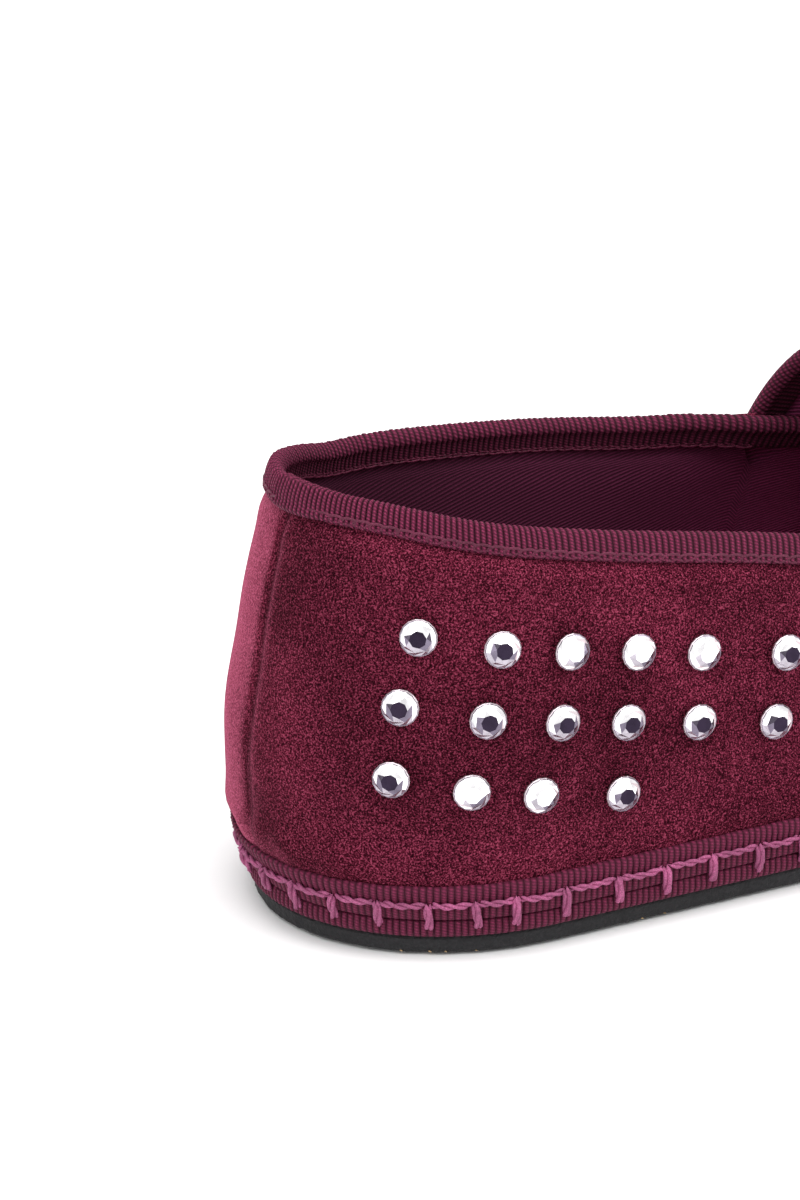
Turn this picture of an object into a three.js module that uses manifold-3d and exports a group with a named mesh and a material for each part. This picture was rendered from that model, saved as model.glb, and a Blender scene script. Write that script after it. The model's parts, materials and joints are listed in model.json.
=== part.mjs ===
// A right-foot slip-on flat with a pointed toe: a velvet upper bound with ribbon, sewn to a
// ribbon-wrapped midsole over a rubber sole cut from tread stock.
// Millimetres. X runs from heel to toe, -Y is the outer side of the foot, Z is up.
import * as THREE from 'three';
import { mergeVertices } from 'three/addons/utils/BufferGeometryUtils.js';
import Module from 'manifold-3d';

const wasm = await Module();
wasm.setup();

// Overall form.
const HEEL_CENTRE_X = 30;
const TOE_CENTRE_X = 205;
const TIP = { x: 246, y: 5 };
const SEAM_X = 93.5;
const WALL = 2.2;
const VAMP_STEP = 0.8;
const GAP = 0.3;
const SEAM_RUN = 1.2;

// Heights of the layers above the floor.
const LUG_DEPTH = 0.9;
const RUBBER_TOP = 2.7;
const MIDSOLE_BOTTOM = RUBBER_TOP + GAP;
const MIDSOLE_TOP = 5.6;
const UPPER_BOTTOM = MIDSOLE_TOP + GAP;
const HEM_BOTTOM = UPPER_BOTTOM + 0.1;
const HEM_TOP = 11;
const INSOLE_THICKNESS = 2;

// How far each layer stands out from the edge of the rubber.
const UPPER_OUT = 0.4;
const MIDSOLE_OUT = 0.2;
const INSOLE_IN = -2.6;

// Toe spring and arch of the sole.
const SPRING_START = 182;
const SPRING_HEIGHT = 6.5;
const ARCH_START = 78;
const ARCH_END = 142;
const ARCH_HEIGHT = 1;
const CAP_SLOPE = -0.16;

// Ribbons.
const BINDING_WIDTH = 3.7;
const RIBBON = 0.9;
const BINDING_END_X = SEAM_X - 2.6;

// Height at which the wall swells most, as a share of the crown.
const SWELL_AT = 0.22;

// Cross-sections of the foot form, from the heel centre to the toe centre.
// lateral and medial are the edges of the rubber, ridge is the top line, crown its height,
// and sweep is how far a rib bends forward between its base and the ridge.
const SECTIONS = table(
  ['x', 'lateral', 'medial', 'ridge', 'crown', 'fullness', 'sweep', 'outerSwell', 'innerSwell'],
  [
    [30, -28, 27.7, 0, 86, 2.7, 0, 0.8, 1.8],
    [65, -31.2, 27, -0.6, 88, 2.7, 3.3, 0.7, 2.4],
    [90, -33.4, 25.8, -1, 65.7, 2.8, 10.7, 0.8, 3.2],
    [112, -35.8, 26.2, -0.6, 56.9, 2.3, 13.4, 1, 3.2],
    [140, -39, 30, 0.6, 48, 2.25, 8.7, 0.8, 1.8],
    [170, -41.4, 37.4, 1.8, 40.2, 2.25, 2.7, 0.6, 0.8],
    [190, -39.6, 38.6, 2.4, 35.4, 2.3, 0.3, 0.5, 0.5],
    [205, -34.8, 36, 2.8, 31.6, 2.35, 0, 0.4, 0.4],
  ],
);

// Height of the finished edge of the quarters along the shoe.
const TOPLINE = table(
  ['x', 'height'],
  [[5, 65.4], [20, 62.1], [40, 57.9], [60, 54.2], [80, 50.1], [106, 46.5]],
);

// Handles of the round ends of the outline: near the sides and near the end of the shoe.
const HEEL_HANDLES = { sideRun: 15.5, lateralIn: 1.2, medialIn: 0.8, backRun: 15.2 };
const TOE_HANDLES = {
  lateral: { x: 217, y: -28.5, tipRun: -12 },
  medial: { x: 222, y: 32, tipRun: 15 },
};
const HEEL_SWELL = 2.2;

// Rhinestones in three rows that fall forward with the edge of the quarters.
// Each row has the height of its first stone and the distances of its stones along the outline.
const STONE_RADIUS = 2.6;
const STONE_HEIGHT = 1.8;
const STONE_FALL = 0.195;
const STONE_ROWS = [
  { name: 'upper', height: 47.2, distances: [25.4, 36.8, 47, 57, 67, 80.1] },
  { name: 'middle', height: 37.6, distances: [23.1, 34.5, 45, 55, 66, 78.1] },
  { name: 'lower', height: 27.4, distances: [22, 32.2, 41.5, 54] },
];

// Tread blocks: rows along the sole, a long and a short block in turn.
const TREAD = {
  rowPitch: 12.6, rows: 7, rowWidth: 9.4, longBlock: 28, shortBlock: 13, groove: 4.5, border: 4.5,
};

// Resolution.
const HEEL_STEPS = 8;
const TOE_STEPS = 9;
const STATIONS = [
  30, 41, 52, 64, 75, 85, SEAM_X, SEAM_X + SEAM_RUN, 104, 115, 127, 140, 152, 164, 176, 186, 196, 205,
];
const WALL_LEVELS = 8;
const ROOF_LEVELS = 6;

const COLOURS = {
  velvet: '#5e1420', ribbon: '#4c1119', rubber: '#1b1a1b', lining: '#2a0a10', crystal: '#e8edf2',
};

// Rows of numbers as records with named columns.
function table(names, rows) {
  return rows.map((row) => Object.fromEntries(names.map((name, index) => [name, row[index]])));
}

// Smooth value of one column of a table at x.
function column(table, name, x) {
  const last = table.length - 1;
  const clamped = Math.min(Math.max(x, table[0].x), table[last].x);
  let row = 0;
  while (row < last - 1 && clamped > table[row + 1].x) row += 1;
  const slope = (index) => {
    const before = table[Math.max(index - 1, 0)];
    const after = table[Math.min(index + 1, last)];
    return (after[name] - before[name]) / (after.x - before.x);
  };
  const run = table[row + 1].x - table[row].x;
  const t = (clamped - table[row].x) / run;
  const rise = table[row + 1][name] - table[row][name];
  const startSlope = slope(row) * run;
  const endSlope = slope(row + 1) * run;
  const cubic = startSlope + endSlope - 2 * rise;
  const square = 3 * rise - 2 * startSlope - endSlope;
  return table[row][name] + t * (startSlope + t * (square + t * cubic));
}

// Height that the toe spring and the arch add at x.
function lift(x) {
  const spring = Math.max(0, (x - SPRING_START) / (TIP.x - SPRING_START));
  const arch = Math.min(Math.max((x - ARCH_START) / (ARCH_END - ARCH_START), 0), 1);
  return SPRING_HEIGHT * spring ** 2 + ARCH_HEIGHT * Math.sin(Math.PI * arch) ** 2;
}

// One end of the outline from the side of the shoe to its middle.
function endCurve(points) {
  return new THREE.CubicBezierCurve3(...points.map(([x, y]) => new THREE.Vector3(x, y, 0)));
}

function heelCurve(side) {
  const edge = SECTIONS[0][side];
  const inward = Math.sign(edge) * (side === 'lateral' ? HEEL_HANDLES.lateralIn : HEEL_HANDLES.medialIn);
  return endCurve([
    [0, 0],
    [0, Math.sign(edge) * HEEL_HANDLES.backRun],
    [HEEL_CENTRE_X - HEEL_HANDLES.sideRun, edge - inward],
    [HEEL_CENTRE_X, edge],
  ]);
}

function toeCurve(side) {
  const edge = SECTIONS[SECTIONS.length - 1][side];
  const handle = TOE_HANDLES[side];
  return endCurve([
    [TOE_CENTRE_X, edge],
    [handle.x, handle.y],
    [TIP.x, TIP.y + handle.tipRun],
    [TIP.x, TIP.y],
  ]);
}

// A rib rises from a base point on the outline to a point on the ridge.
function stationRib(side, x) {
  return {
    base: new THREE.Vector2(x, column(SECTIONS, side, x)),
    ridge: new THREE.Vector2(x, column(SECTIONS, 'ridge', x)),
    station: x,
    sweep: column(SECTIONS, 'sweep', x),
    swell: column(SECTIONS, side === 'lateral' ? 'outerSwell' : 'innerSwell', x),
  };
}

function endRib(curve, t, station, swell) {
  const point = curve.getPoint(t);
  return {
    base: new THREE.Vector2(point.x, point.y),
    ridge: new THREE.Vector2(station, column(SECTIONS, 'ridge', station)),
    station,
    sweep: 0,
    swell,
  };
}

// The ribs of one side from the middle of the heel to the tip.
function sideRibs(side) {
  const swellName = side === 'lateral' ? 'outerSwell' : 'innerSwell';
  const heel = heelCurve(side);
  const toe = toeCurve(side);
  const ribs = [];
  for (let step = 0; step < HEEL_STEPS; step += 1) {
    const t = step / HEEL_STEPS;
    const swell = HEEL_SWELL + (SECTIONS[0][swellName] - HEEL_SWELL) * t ** 2;
    ribs.push(endRib(heel, t, HEEL_CENTRE_X, swell));
  }
  for (const x of STATIONS) ribs.push(stationRib(side, x));
  const toeSwell = SECTIONS[SECTIONS.length - 1][swellName];
  for (let step = 1; step <= TOE_STEPS; step += 1) {
    ribs.push(endRib(toe, step / TOE_STEPS, TOE_CENTRE_X, toeSwell));
  }
  return ribs;
}

// The closed ring of ribs: heel, outer side, tip, inner side. Each gets its outward direction.
function closedRing() {
  const outer = sideRibs('lateral');
  const inner = sideRibs('medial');
  const ring = [...outer, ...inner.slice(1, -1).reverse()];
  const outwards = ring.map((rib, index) => {
    const before = ring[(index + ring.length - 1) % ring.length].base;
    const after = ring[(index + 1) % ring.length].base;
    const along = after.clone().sub(before).normalize();
    return new THREE.Vector2(along.y, -along.x);
  });
  ring.forEach((rib, index) => {
    rib.outward = outwards[index];
  });
  return ring;
}

const RING = closedRing();
const HALF = sideRibs('lateral').length - 1;
const partner = (index) => (RING.length - index) % RING.length;
const SEAM_RIB = HEEL_STEPS + STATIONS.indexOf(SEAM_X);
const VAMP_RIB = SEAM_RIB + 1;
const isVamp = (index) => index >= VAMP_RIB && index <= partner(VAMP_RIB);

// A point of the foot form on a rib, at a share of the crown height and an offset from the skin.
function formAt(rib, share, offset) {
  const fullness = column(SECTIONS, 'fullness', rib.station);
  const crown = column(SECTIONS, 'crown', rib.station) + offset - UPPER_BOTTOM;
  const spread = Math.max(0, 1 - share ** fullness) ** (1 / fullness);
  const bump = rib.swell * (share / SWELL_AT) * Math.exp(1 - share / SWELL_AT) * spread;
  const base = rib.base.clone().addScaledVector(rib.outward, offset + UPPER_OUT);
  const plan = rib.ridge.clone().lerp(base, spread).addScaledVector(rib.outward, bump);
  plan.x += rib.sweep * (1 - spread ** 2);
  const capDrop = CAP_SLOPE * Math.max(0, plan.x - TOE_CENTRE_X) * share;
  return new THREE.Vector3(plan.x, plan.y, UPPER_BOTTOM + crown * share + capDrop + lift(plan.x));
}

// The share of the crown at which a rib reaches a height given by a function of x.
function shareAt(rib, offset, heightOf) {
  let low = 0;
  let high = 1;
  for (let pass = 0; pass < 40; pass += 1) {
    const middle = (low + high) / 2;
    const point = formAt(rib, middle, offset);
    if (point.z < heightOf(point.x)) low = middle;
    else high = middle;
  }
  return (low + high) / 2;
}

const toplineAt = (x) => column(TOPLINE, 'height', x) - RIBBON - GAP;
const atHeight = (rib, height, offset) => formAt(rib, shareAt(rib, offset, (x) => height + lift(x)), offset);

// Mesh building from closed surfaces.
class Surface {
  constructor() {
    this.corners = [];
  }

  triangle(a, b, c) {
    this.corners.push(a, b, c);
  }

  quad(a, b, c, d) {
    this.triangle(a, b, c);
    this.triangle(a, c, d);
  }

  geometry() {
    const kept = [];
    const same = (a, b) => a.distanceTo(b) < 1e-6;
    for (let start = 0; start < this.corners.length; start += 3) {
      const [a, b, c] = this.corners.slice(start, start + 3);
      if (!same(a, b) && !same(b, c) && !same(c, a)) kept.push(a, b, c);
    }
    const shape = new THREE.BufferGeometry().setFromPoints(kept);
    return outwardFacing(mergeVertices(shape, 1e-4));
  }
}

// Turn a closed surface so that it faces outwards.
function outwardFacing(shape) {
  const places = shape.attributes.position;
  const order = shape.index.array;
  const [a, b, c] = [0, 0, 0].map(() => new THREE.Vector3());
  let volume = 0;
  for (let start = 0; start < order.length; start += 3) {
    a.fromBufferAttribute(places, order[start]);
    b.fromBufferAttribute(places, order[start + 1]);
    c.fromBufferAttribute(places, order[start + 2]);
    volume += a.dot(b.cross(c));
  }
  if (volume < 0) {
    for (let start = 0; start < order.length; start += 3) {
      [order[start + 1], order[start + 2]] = [order[start + 2], order[start + 1]];
    }
  }
  return shape;
}

// A band swept along rows of matching corners, closed on itself or capped at its ends.
function sweptBand(rows, closed) {
  const surface = new Surface();
  const turns = closed ? rows.length : rows.length - 1;
  for (let row = 0; row < turns; row += 1) {
    const here = rows[row];
    const next = rows[(row + 1) % rows.length];
    here.forEach((corner, index) => {
      const other = (index + 1) % here.length;
      surface.quad(corner, next[index], next[other], here[other]);
    });
  }
  if (!closed) {
    capChannel(surface, rows[0], false);
    capChannel(surface, rows[rows.length - 1], true);
  }
  return surface.geometry();
}

// The end of a folded ribbon: eight corners, four round the outside and four back along the inside.
function capChannel(surface, corners, turned) {
  const [a, b, c, d, e, f, g, h] = corners;
  const faces = [[a, b, g, h], [b, c, f, g], [c, d, e, f]];
  for (const face of faces) surface.quad(...(turned ? face.reverse() : face));
}

// A slab that follows the outline and the lift of the sole.
function slab(offset, bottom, top) {
  const surface = new Surface();
  const rim = RING.map((rib) => {
    const place = rib.base.clone().addScaledVector(rib.outward, offset);
    const rise = lift(place.x);
    return [bottom, top].map((height) => new THREE.Vector3(place.x, place.y, height + rise));
  });
  rim.forEach((here, index) => {
    const next = rim[(index + 1) % rim.length];
    surface.quad(here[0], next[0], next[1], here[1]);
  });
  for (let index = 0; index < HALF; index += 1) {
    const [outer, ahead] = [rim[index], rim[index + 1]];
    const [inner, innerAhead] = [rim[partner(index)], rim[partner(index + 1)]];
    surface.quad(outer[1], ahead[1], innerAhead[1], inner[1]);
    surface.quad(outer[0], inner[0], innerAhead[0], ahead[0]);
  }
  return surface.geometry();
}

// One wall column of the upper: levels up the quarter, and on to the ridge on the vamp.
function upperColumn(index, offset, cornerShare) {
  const rib = RING[index];
  const fullness = column(SECTIONS, 'fullness', rib.station);
  const levels = [];
  const edgeShare = isVamp(index) ? cornerShare : shareAt(rib, 0, toplineAt);
  for (let level = 0; level <= WALL_LEVELS; level += 1) {
    levels.push(formAt(rib, edgeShare * level / WALL_LEVELS, offset));
  }
  if (!isVamp(index)) return levels;
  const edgeAngle = Math.asin(edgeShare ** (fullness / 2));
  for (let level = 1; level <= ROOF_LEVELS; level += 1) {
    const angle = edgeAngle + (Math.PI / 2 - edgeAngle) * level / ROOF_LEVELS;
    levels.push(formAt(rib, Math.min(1, Math.sin(angle) ** (2 / fullness)), offset));
  }
  return levels;
}

// The hollow upper: outer skin, inner skin, lower rim, collar rim and throat rim.
function upperGeometry() {
  const surface = new Surface();
  const cornerShare = shareAt(RING[VAMP_RIB], 0, toplineAt);
  const skin = RING.map((rib, index) => upperColumn(index, isVamp(index) ? VAMP_STEP : 0, cornerShare));
  const inside = RING.map((rib, index) => upperColumn(index, -WALL, cornerShare));
  RING.forEach((rib, index) => {
    const next = (index + 1) % RING.length;
    const levels = Math.min(skin[index].length, skin[next].length) - 1;
    for (let level = 0; level < levels; level += 1) {
      surface.quad(skin[index][level], skin[next][level], skin[next][level + 1], skin[index][level + 1]);
      const [near, far] = [inside[index], inside[next]];
      surface.quad(near[level], near[level + 1], far[level + 1], far[level]);
    }
    surface.quad(skin[index][0], inside[index][0], inside[next][0], skin[next][0]);
    if (levels === WALL_LEVELS) {
      surface.quad(skin[index][levels], skin[next][levels], inside[next][levels], inside[index][levels]);
    }
  });
  for (const [index, forward] of [[VAMP_RIB, true], [partner(VAMP_RIB), false]]) {
    for (let level = WALL_LEVELS; level < WALL_LEVELS + ROOF_LEVELS; level += 1) {
      const [outer, inner] = [skin[index], inside[index]];
      const face = [outer[level], outer[level + 1], inner[level + 1], inner[level]];
      surface.quad(...(forward ? face : face.reverse()));
    }
  }
  return surface.geometry();
}

// Ribbon over the lower edge of the upper.
function hemGeometry() {
  const rows = RING.map((rib, index) => {
    const seat = GAP + (isVamp(index) ? VAMP_STEP : 0);
    const heights = [HEM_BOTTOM, (HEM_BOTTOM + HEM_TOP) / 2, HEM_TOP];
    const outside = heights.map((height) => atHeight(rib, height, seat + RIBBON));
    const against = heights.map((height) => atHeight(rib, height, seat));
    return [...outside, ...against.reverse()];
  });
  return sweptBand(rows, true);
}

// Ribbon folded over the edge of the quarters.
function collarGeometry() {
  const ends = ['medial', 'lateral'].map((side) => {
    const rib = stationRib(side, BINDING_END_X);
    rib.outward = RING[side === 'lateral' ? SEAM_RIB : partner(SEAM_RIB)].outward;
    return rib;
  });
  const count = SEAM_RIB - 1;
  const middle = [];
  for (let step = -count; step <= count; step += 1) middle.push(RING[(step + RING.length) % RING.length]);
  const ribs = [ends[0], ...middle, ends[1]];
  const rows = ribs.map((rib) => {
    const skinOut = GAP;
    const skinIn = -WALL - GAP;
    const corner = (offset, drop) => {
      const share = shareAt(rib, 0, (x) => toplineAt(x) - drop);
      return formAt(rib, share, offset);
    };
    return [
      corner(skinOut + RIBBON, BINDING_WIDTH), corner(skinOut + RIBBON, -GAP - RIBBON),
      corner(skinIn - RIBBON, -GAP - RIBBON), corner(skinIn - RIBBON, BINDING_WIDTH),
      corner(skinIn, BINDING_WIDTH), corner(skinIn, -GAP),
      corner(skinOut, -GAP), corner(skinOut, BINDING_WIDTH),
    ];
  });
  return sweptBand(rows, false);
}

// Ribbon folded over the rear edge of the vamp, from corner to corner across the instep.
function throatGeometry() {
  const cornerShare = shareAt(RING[VAMP_RIB], 0, toplineAt);
  const edgeX = STATIONS[VAMP_RIB - HEEL_STEPS];
  const row = (side, share) => {
    const corner = (offset, forward) => {
      const rib = stationRib(side, edgeX + forward);
      rib.outward = RING[side === 'lateral' ? VAMP_RIB : partner(VAMP_RIB)].outward;
      return formAt(rib, share, offset);
    };
    const skinOut = VAMP_STEP + GAP;
    const skinIn = -WALL - GAP;
    return [
      corner(skinOut + RIBBON, BINDING_WIDTH), corner(skinOut + RIBBON, -GAP - RIBBON),
      corner(skinIn - RIBBON, -GAP - RIBBON), corner(skinIn - RIBBON, BINDING_WIDTH),
      corner(skinIn, BINDING_WIDTH), corner(skinIn, -GAP),
      corner(skinOut, -GAP), corner(skinOut, BINDING_WIDTH),
    ];
  };
  const fullness = column(SECTIONS, 'fullness', edgeX);
  const startAngle = Math.asin(cornerShare ** (fullness / 2));
  const shares = [];
  for (let step = 0; step <= ROOF_LEVELS + 2; step += 1) {
    const angle = startAngle + (Math.PI / 2 - startAngle) * step / (ROOF_LEVELS + 2);
    shares.push(Math.min(1, Math.sin(angle) ** (2 / fullness)));
  }
  const rows = shares.map((share) => row('lateral', share));
  for (const share of shares.slice(0, -1).reverse()) rows.push(row('medial', share));
  return sweptBand(rows, false);
}

// Solids for joining and cutting.
function solid(shape) {
  const bare = new THREE.BufferGeometry();
  bare.setAttribute('position', shape.attributes.position);
  bare.setIndex(shape.index);
  const welded = mergeVertices(bare, 1e-4);
  return new wasm.Manifold(new wasm.Mesh({
    numProp: 3,
    vertProperties: new Float32Array(welded.attributes.position.array),
    triVerts: new Uint32Array(welded.index.array),
  }));
}

function fromSolid(body) {
  const mesh = body.getMesh();
  const shape = new THREE.BufferGeometry();
  shape.setAttribute('position', new THREE.BufferAttribute(new Float32Array(mesh.vertProperties), 3));
  shape.setIndex(new THREE.BufferAttribute(new Uint32Array(mesh.triVerts), 1));
  return shape;
}

// The middle of each tread block and its length, row by row.
function treadBlocks() {
  const blocks = [];
  const period = TREAD.longBlock + TREAD.shortBlock + 2 * TREAD.groove;
  for (let row = 0; row < TREAD.rows; row += 1) {
    const y = (row - (TREAD.rows - 1) / 2) * TREAD.rowPitch;
    const shift = (row % 2) * period / 2;
    for (let start = -shift; start < TIP.x; start += period) {
      blocks.push({ x: start + TREAD.longBlock / 2, y, length: TREAD.longBlock });
      const shortStart = start + TREAD.longBlock + TREAD.groove;
      blocks.push({ x: shortStart + TREAD.shortBlock / 2, y, length: TREAD.shortBlock });
    }
  }
  return blocks;
}

// Rubber sole: a slab on the outline with the tread blocks standing below it.
function outsoleGeometry() {
  let body = solid(slab(0, LUG_DEPTH, RUBBER_TOP));
  const field = solid(slab(-TREAD.border, -1, RUBBER_TOP - 0.5));
  const height = LUG_DEPTH + 0.6;
  for (const block of treadBlocks()) {
    const box = new THREE.BoxGeometry(block.length, TREAD.rowWidth, height);
    const places = box.attributes.position;
    for (let index = 0; index < places.count; index += 1) {
      const x = places.getX(index) + block.x;
      places.setXYZ(index, x, places.getY(index) + block.y, places.getZ(index) + height / 2 + lift(x));
    }
    const lug = solid(box).intersect(field);
    if (!lug.isEmpty() && lug.volume() > 12) body = body.add(lug);
  }
  return fromSolid(body);
}

// Points along the outline of the outer side, measured from the middle of the heel.
function outerRibAt(distance) {
  const ribs = RING.slice(0, HALF + 1);
  let travelled = 0;
  for (let index = 0; index < HALF; index += 1) {
    const [here, next] = [ribs[index], ribs[index + 1]];
    const step = here.base.distanceTo(next.base);
    if (travelled + step >= distance) {
      const t = (distance - travelled) / step;
      return {
        base: here.base.clone().lerp(next.base, t),
        ridge: here.ridge.clone().lerp(next.ridge, t),
        outward: here.outward.clone().lerp(next.outward, t).normalize(),
        station: THREE.MathUtils.lerp(here.station, next.station, t),
        sweep: THREE.MathUtils.lerp(here.sweep, next.sweep, t),
        swell: THREE.MathUtils.lerp(here.swell, next.swell, t),
      };
    }
    travelled += step;
  }
  throw new Error('distance is past the tip');
}

// A round stone: flat back, short girdle, sloped crown and flat table.
function stoneGeometry() {
  const profile = [
    [0, 0],
    [STONE_RADIUS * 0.98, 0],
    [STONE_RADIUS, 0.5],
    [STONE_RADIUS * 0.55, STONE_HEIGHT],
    [0, STONE_HEIGHT],
  ].map(([radius, height]) => new THREE.Vector2(radius, height));
  const turned = new THREE.LatheGeometry(profile, 16);
  turned.deleteAttribute('uv');
  turned.deleteAttribute('normal');
  const surface = new Surface();
  const flat = turned.toNonIndexed().attributes.position;
  for (let index = 0; index < flat.count; index += 3) {
    surface.triangle(...[0, 1, 2].map((step) => new THREE.Vector3().fromBufferAttribute(flat, index + step)));
  }
  return surface.geometry();
}

function placeStone(mesh, row, distance) {
  const rib = outerRibAt(distance);
  const height = row.height - STONE_FALL * (distance - row.distances[0]);
  const share = shareAt(rib, 0, () => height);
  const here = formAt(rib, share, 0);
  const above = formAt(rib, share + 0.02, 0);
  const up = above.sub(here).normalize();
  const along = new THREE.Vector3(-rib.outward.y, rib.outward.x, 0);
  const out = along.cross(up).normalize();
  if (out.x * rib.outward.x + out.y * rib.outward.y < 0) out.negate();
  const seat = here.clone().addScaledVector(out, GAP + 0.25);
  mesh.quaternion.setFromUnitVectors(new THREE.Vector3(0, 1, 0), out);
  mesh.position.copy(seat);
}

function piece(name, shape, colour, look = {}) {
  const faceted = shape.toNonIndexed();
  faceted.computeVertexNormals();
  const material = new THREE.MeshStandardMaterial({ color: colour, roughness: 0.8, metalness: 0, ...look });
  const mesh = new THREE.Mesh(faceted, material);
  mesh.name = name;
  return mesh;
}

const shoe = new THREE.Group();
shoe.name = 'pointed_toe_flat';
shoe.add(piece('outsole', outsoleGeometry(), COLOURS.rubber, { roughness: 0.7 }));
shoe.add(piece('midsole', slab(MIDSOLE_OUT, MIDSOLE_BOTTOM, MIDSOLE_TOP), COLOURS.ribbon));
shoe.add(piece('insole', slab(INSOLE_IN, UPPER_BOTTOM, UPPER_BOTTOM + INSOLE_THICKNESS), COLOURS.lining));
shoe.add(piece('upper', upperGeometry(), COLOURS.velvet, { roughness: 0.95 }));
shoe.add(piece('hem_ribbon', hemGeometry(), COLOURS.ribbon));
shoe.add(piece('collar_binding', collarGeometry(), COLOURS.ribbon));
shoe.add(piece('throat_binding', throatGeometry(), COLOURS.ribbon));
for (const row of STONE_ROWS) {
  row.distances.forEach((distance, order) => {
    const name = `rhinestone_${row.name}_${order + 1}`;
    const stone = piece(name, stoneGeometry(), COLOURS.crystal, { roughness: 0.1 });
    placeStone(stone, row, distance);
    shoe.add(stone);
  });
}

// The frame has its origin under the middle of the shoe, on the floor.
const extent = new THREE.Box3().setFromObject(shoe);
const centre = extent.getCenter(new THREE.Vector3());
shoe.position.set(-centre.x, -centre.y, -extent.min.z);

export default shoe;
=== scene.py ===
"""A right-foot velvet flat with an almond toe, ribbon bindings, rhinestones and a tread rubber sole."""
import bisect
import collections
import functools
import json
import math
import random

import bpy
from mathutils import Matrix, Vector


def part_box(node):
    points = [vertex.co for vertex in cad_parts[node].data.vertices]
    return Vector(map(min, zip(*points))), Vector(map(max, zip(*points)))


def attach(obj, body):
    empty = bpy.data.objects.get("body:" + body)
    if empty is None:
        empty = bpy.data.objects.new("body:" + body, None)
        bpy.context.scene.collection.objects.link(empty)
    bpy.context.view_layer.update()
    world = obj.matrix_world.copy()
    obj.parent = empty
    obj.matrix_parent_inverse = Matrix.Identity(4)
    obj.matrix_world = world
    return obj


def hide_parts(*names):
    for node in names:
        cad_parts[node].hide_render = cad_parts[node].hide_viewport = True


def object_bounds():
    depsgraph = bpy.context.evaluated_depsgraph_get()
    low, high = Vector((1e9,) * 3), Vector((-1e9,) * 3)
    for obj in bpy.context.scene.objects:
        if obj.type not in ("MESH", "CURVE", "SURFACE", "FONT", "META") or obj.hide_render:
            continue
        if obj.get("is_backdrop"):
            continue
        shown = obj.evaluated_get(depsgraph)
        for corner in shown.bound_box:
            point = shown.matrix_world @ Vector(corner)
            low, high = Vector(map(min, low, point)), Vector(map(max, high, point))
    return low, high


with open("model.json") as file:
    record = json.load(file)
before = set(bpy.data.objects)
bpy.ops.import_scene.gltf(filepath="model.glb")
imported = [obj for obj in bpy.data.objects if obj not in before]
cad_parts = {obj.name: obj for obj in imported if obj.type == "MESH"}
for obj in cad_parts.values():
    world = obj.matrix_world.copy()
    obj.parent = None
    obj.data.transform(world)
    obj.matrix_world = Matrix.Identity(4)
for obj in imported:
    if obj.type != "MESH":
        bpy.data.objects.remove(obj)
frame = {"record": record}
CAD_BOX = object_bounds()

bl_info = {
    "name": "Velvet Pointed Flat",
    "version": (1, 0, 0),
    "blender": (4, 5, 0),
    "location": "3D View > Sidebar > Flat Shoe",
    "description": "Dresses the solids of a velvet flat with cloth, ribbon, thread, stones and rubber",
    "category": "Object",
}

# The shoe's own millimetres run from the back of the heel; the heel's resting place ties them to the frame.
MM = 0.001
SAME_POINT = 1e-7
INSIDE_POINT = Vector((110, 0, 24))
HEEL_REST_X = 39
HEEL_REST = next(m["pos_m"] for m in frame["record"]["mounts"] if m["name"] == "rest_heel")
SHIFT = Vector((HEEL_REST[0] - HEEL_REST_X * MM, HEEL_REST[1], HEEL_REST[2]))

HEEL_CENTRE_X = 30
TOE_CENTRE_X = 205
TIP_X, TIP_Y = 246, 5
SEAM_X = 93.5
VAMP_EDGE_X = 94.7
WALL = 2.2
EDGE_WALL = 1
THIN_BELOW = 0.6
VAMP_STEP = 0.8
STEP_RUN = 1.2
GAP = 0.3
RIBBON = 0.9
LUG_DEPTH = 0.9
STITCH_TOP = 8.5
STITCH_BOTTOM = 4.4
RUBBER_TOP = 2.7
MIDSOLE_BOTTOM = 3
MIDSOLE_TOP = 5.6
UPPER_BOTTOM = 5.9
INSOLE_THICKNESS = 2
INSOLE_STEPS = 420
HEM_BOTTOM = 6
HEM_TOP = 11
UPPER_OUT = 0.4
SWELL_AT = 0.22
HEEL_SWELL = 2.2
CAP_SLOPE = -0.16
TOE_SPRING = 6.5
SPRING_FROM_X = 182
ARCH_RISE = 1
ARCH_FROM_X, ARCH_TO_X = 78, 142
# Where the search for a height on a rib starts, and its rounds.
FIRST_SHARE, SHARE_STEPS = 0.4, 9
# Handles that draw the round heel and the toe in plan.
HEEL_HANDLE_X, HEEL_HANDLE_Y = 15.5, 15.2
HEEL_TUCK = {"lateral": 1.2, "medial": 0.8}
TOE_HANDLES = {
    "lateral": ((217, -28.5), (TIP_X, TIP_Y - 12)),
    "medial": ((222, 32), (TIP_X, TIP_Y + 15)),
}

# Cross-sections of the foot form from the heel centre to the toe centre.
Section = collections.namedtuple(
    "Section", "x lateral medial ridge crown fullness sweep outer_swell inner_swell"
)
SECTIONS = (
    Section(30, -28, 27.7, 0, 86, 2.7, 0, 0.8, 1.8),
    Section(65, -31.2, 27, -0.6, 88, 2.7, 3.3, 0.7, 2.4),
    Section(90, -33.4, 25.8, -1, 65.7, 2.8, 10.7, 0.8, 3.2),
    Section(112, -35.8, 26.2, -0.6, 56.9, 2.3, 13.4, 1, 3.2),
    Section(140, -39, 30, 0.6, 48, 2.25, 8.7, 0.8, 1.8),
    Section(170, -41.4, 37.4, 1.8, 40.2, 2.25, 2.7, 0.6, 0.8),
    Section(190, -39.6, 38.6, 2.4, 35.4, 2.3, 0.3, 0.5, 0.5),
    Section(205, -34.8, 36, 2.8, 31.6, 2.35, 0, 0.4, 0.4),
)
Edge = collections.namedtuple("Edge", "x height")
TOPLINE = (
    Edge(5, 65.4), Edge(20, 62.1), Edge(40, 57.9), Edge(60, 54.2), Edge(80, 50.1), Edge(106, 46.5),
)

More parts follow.
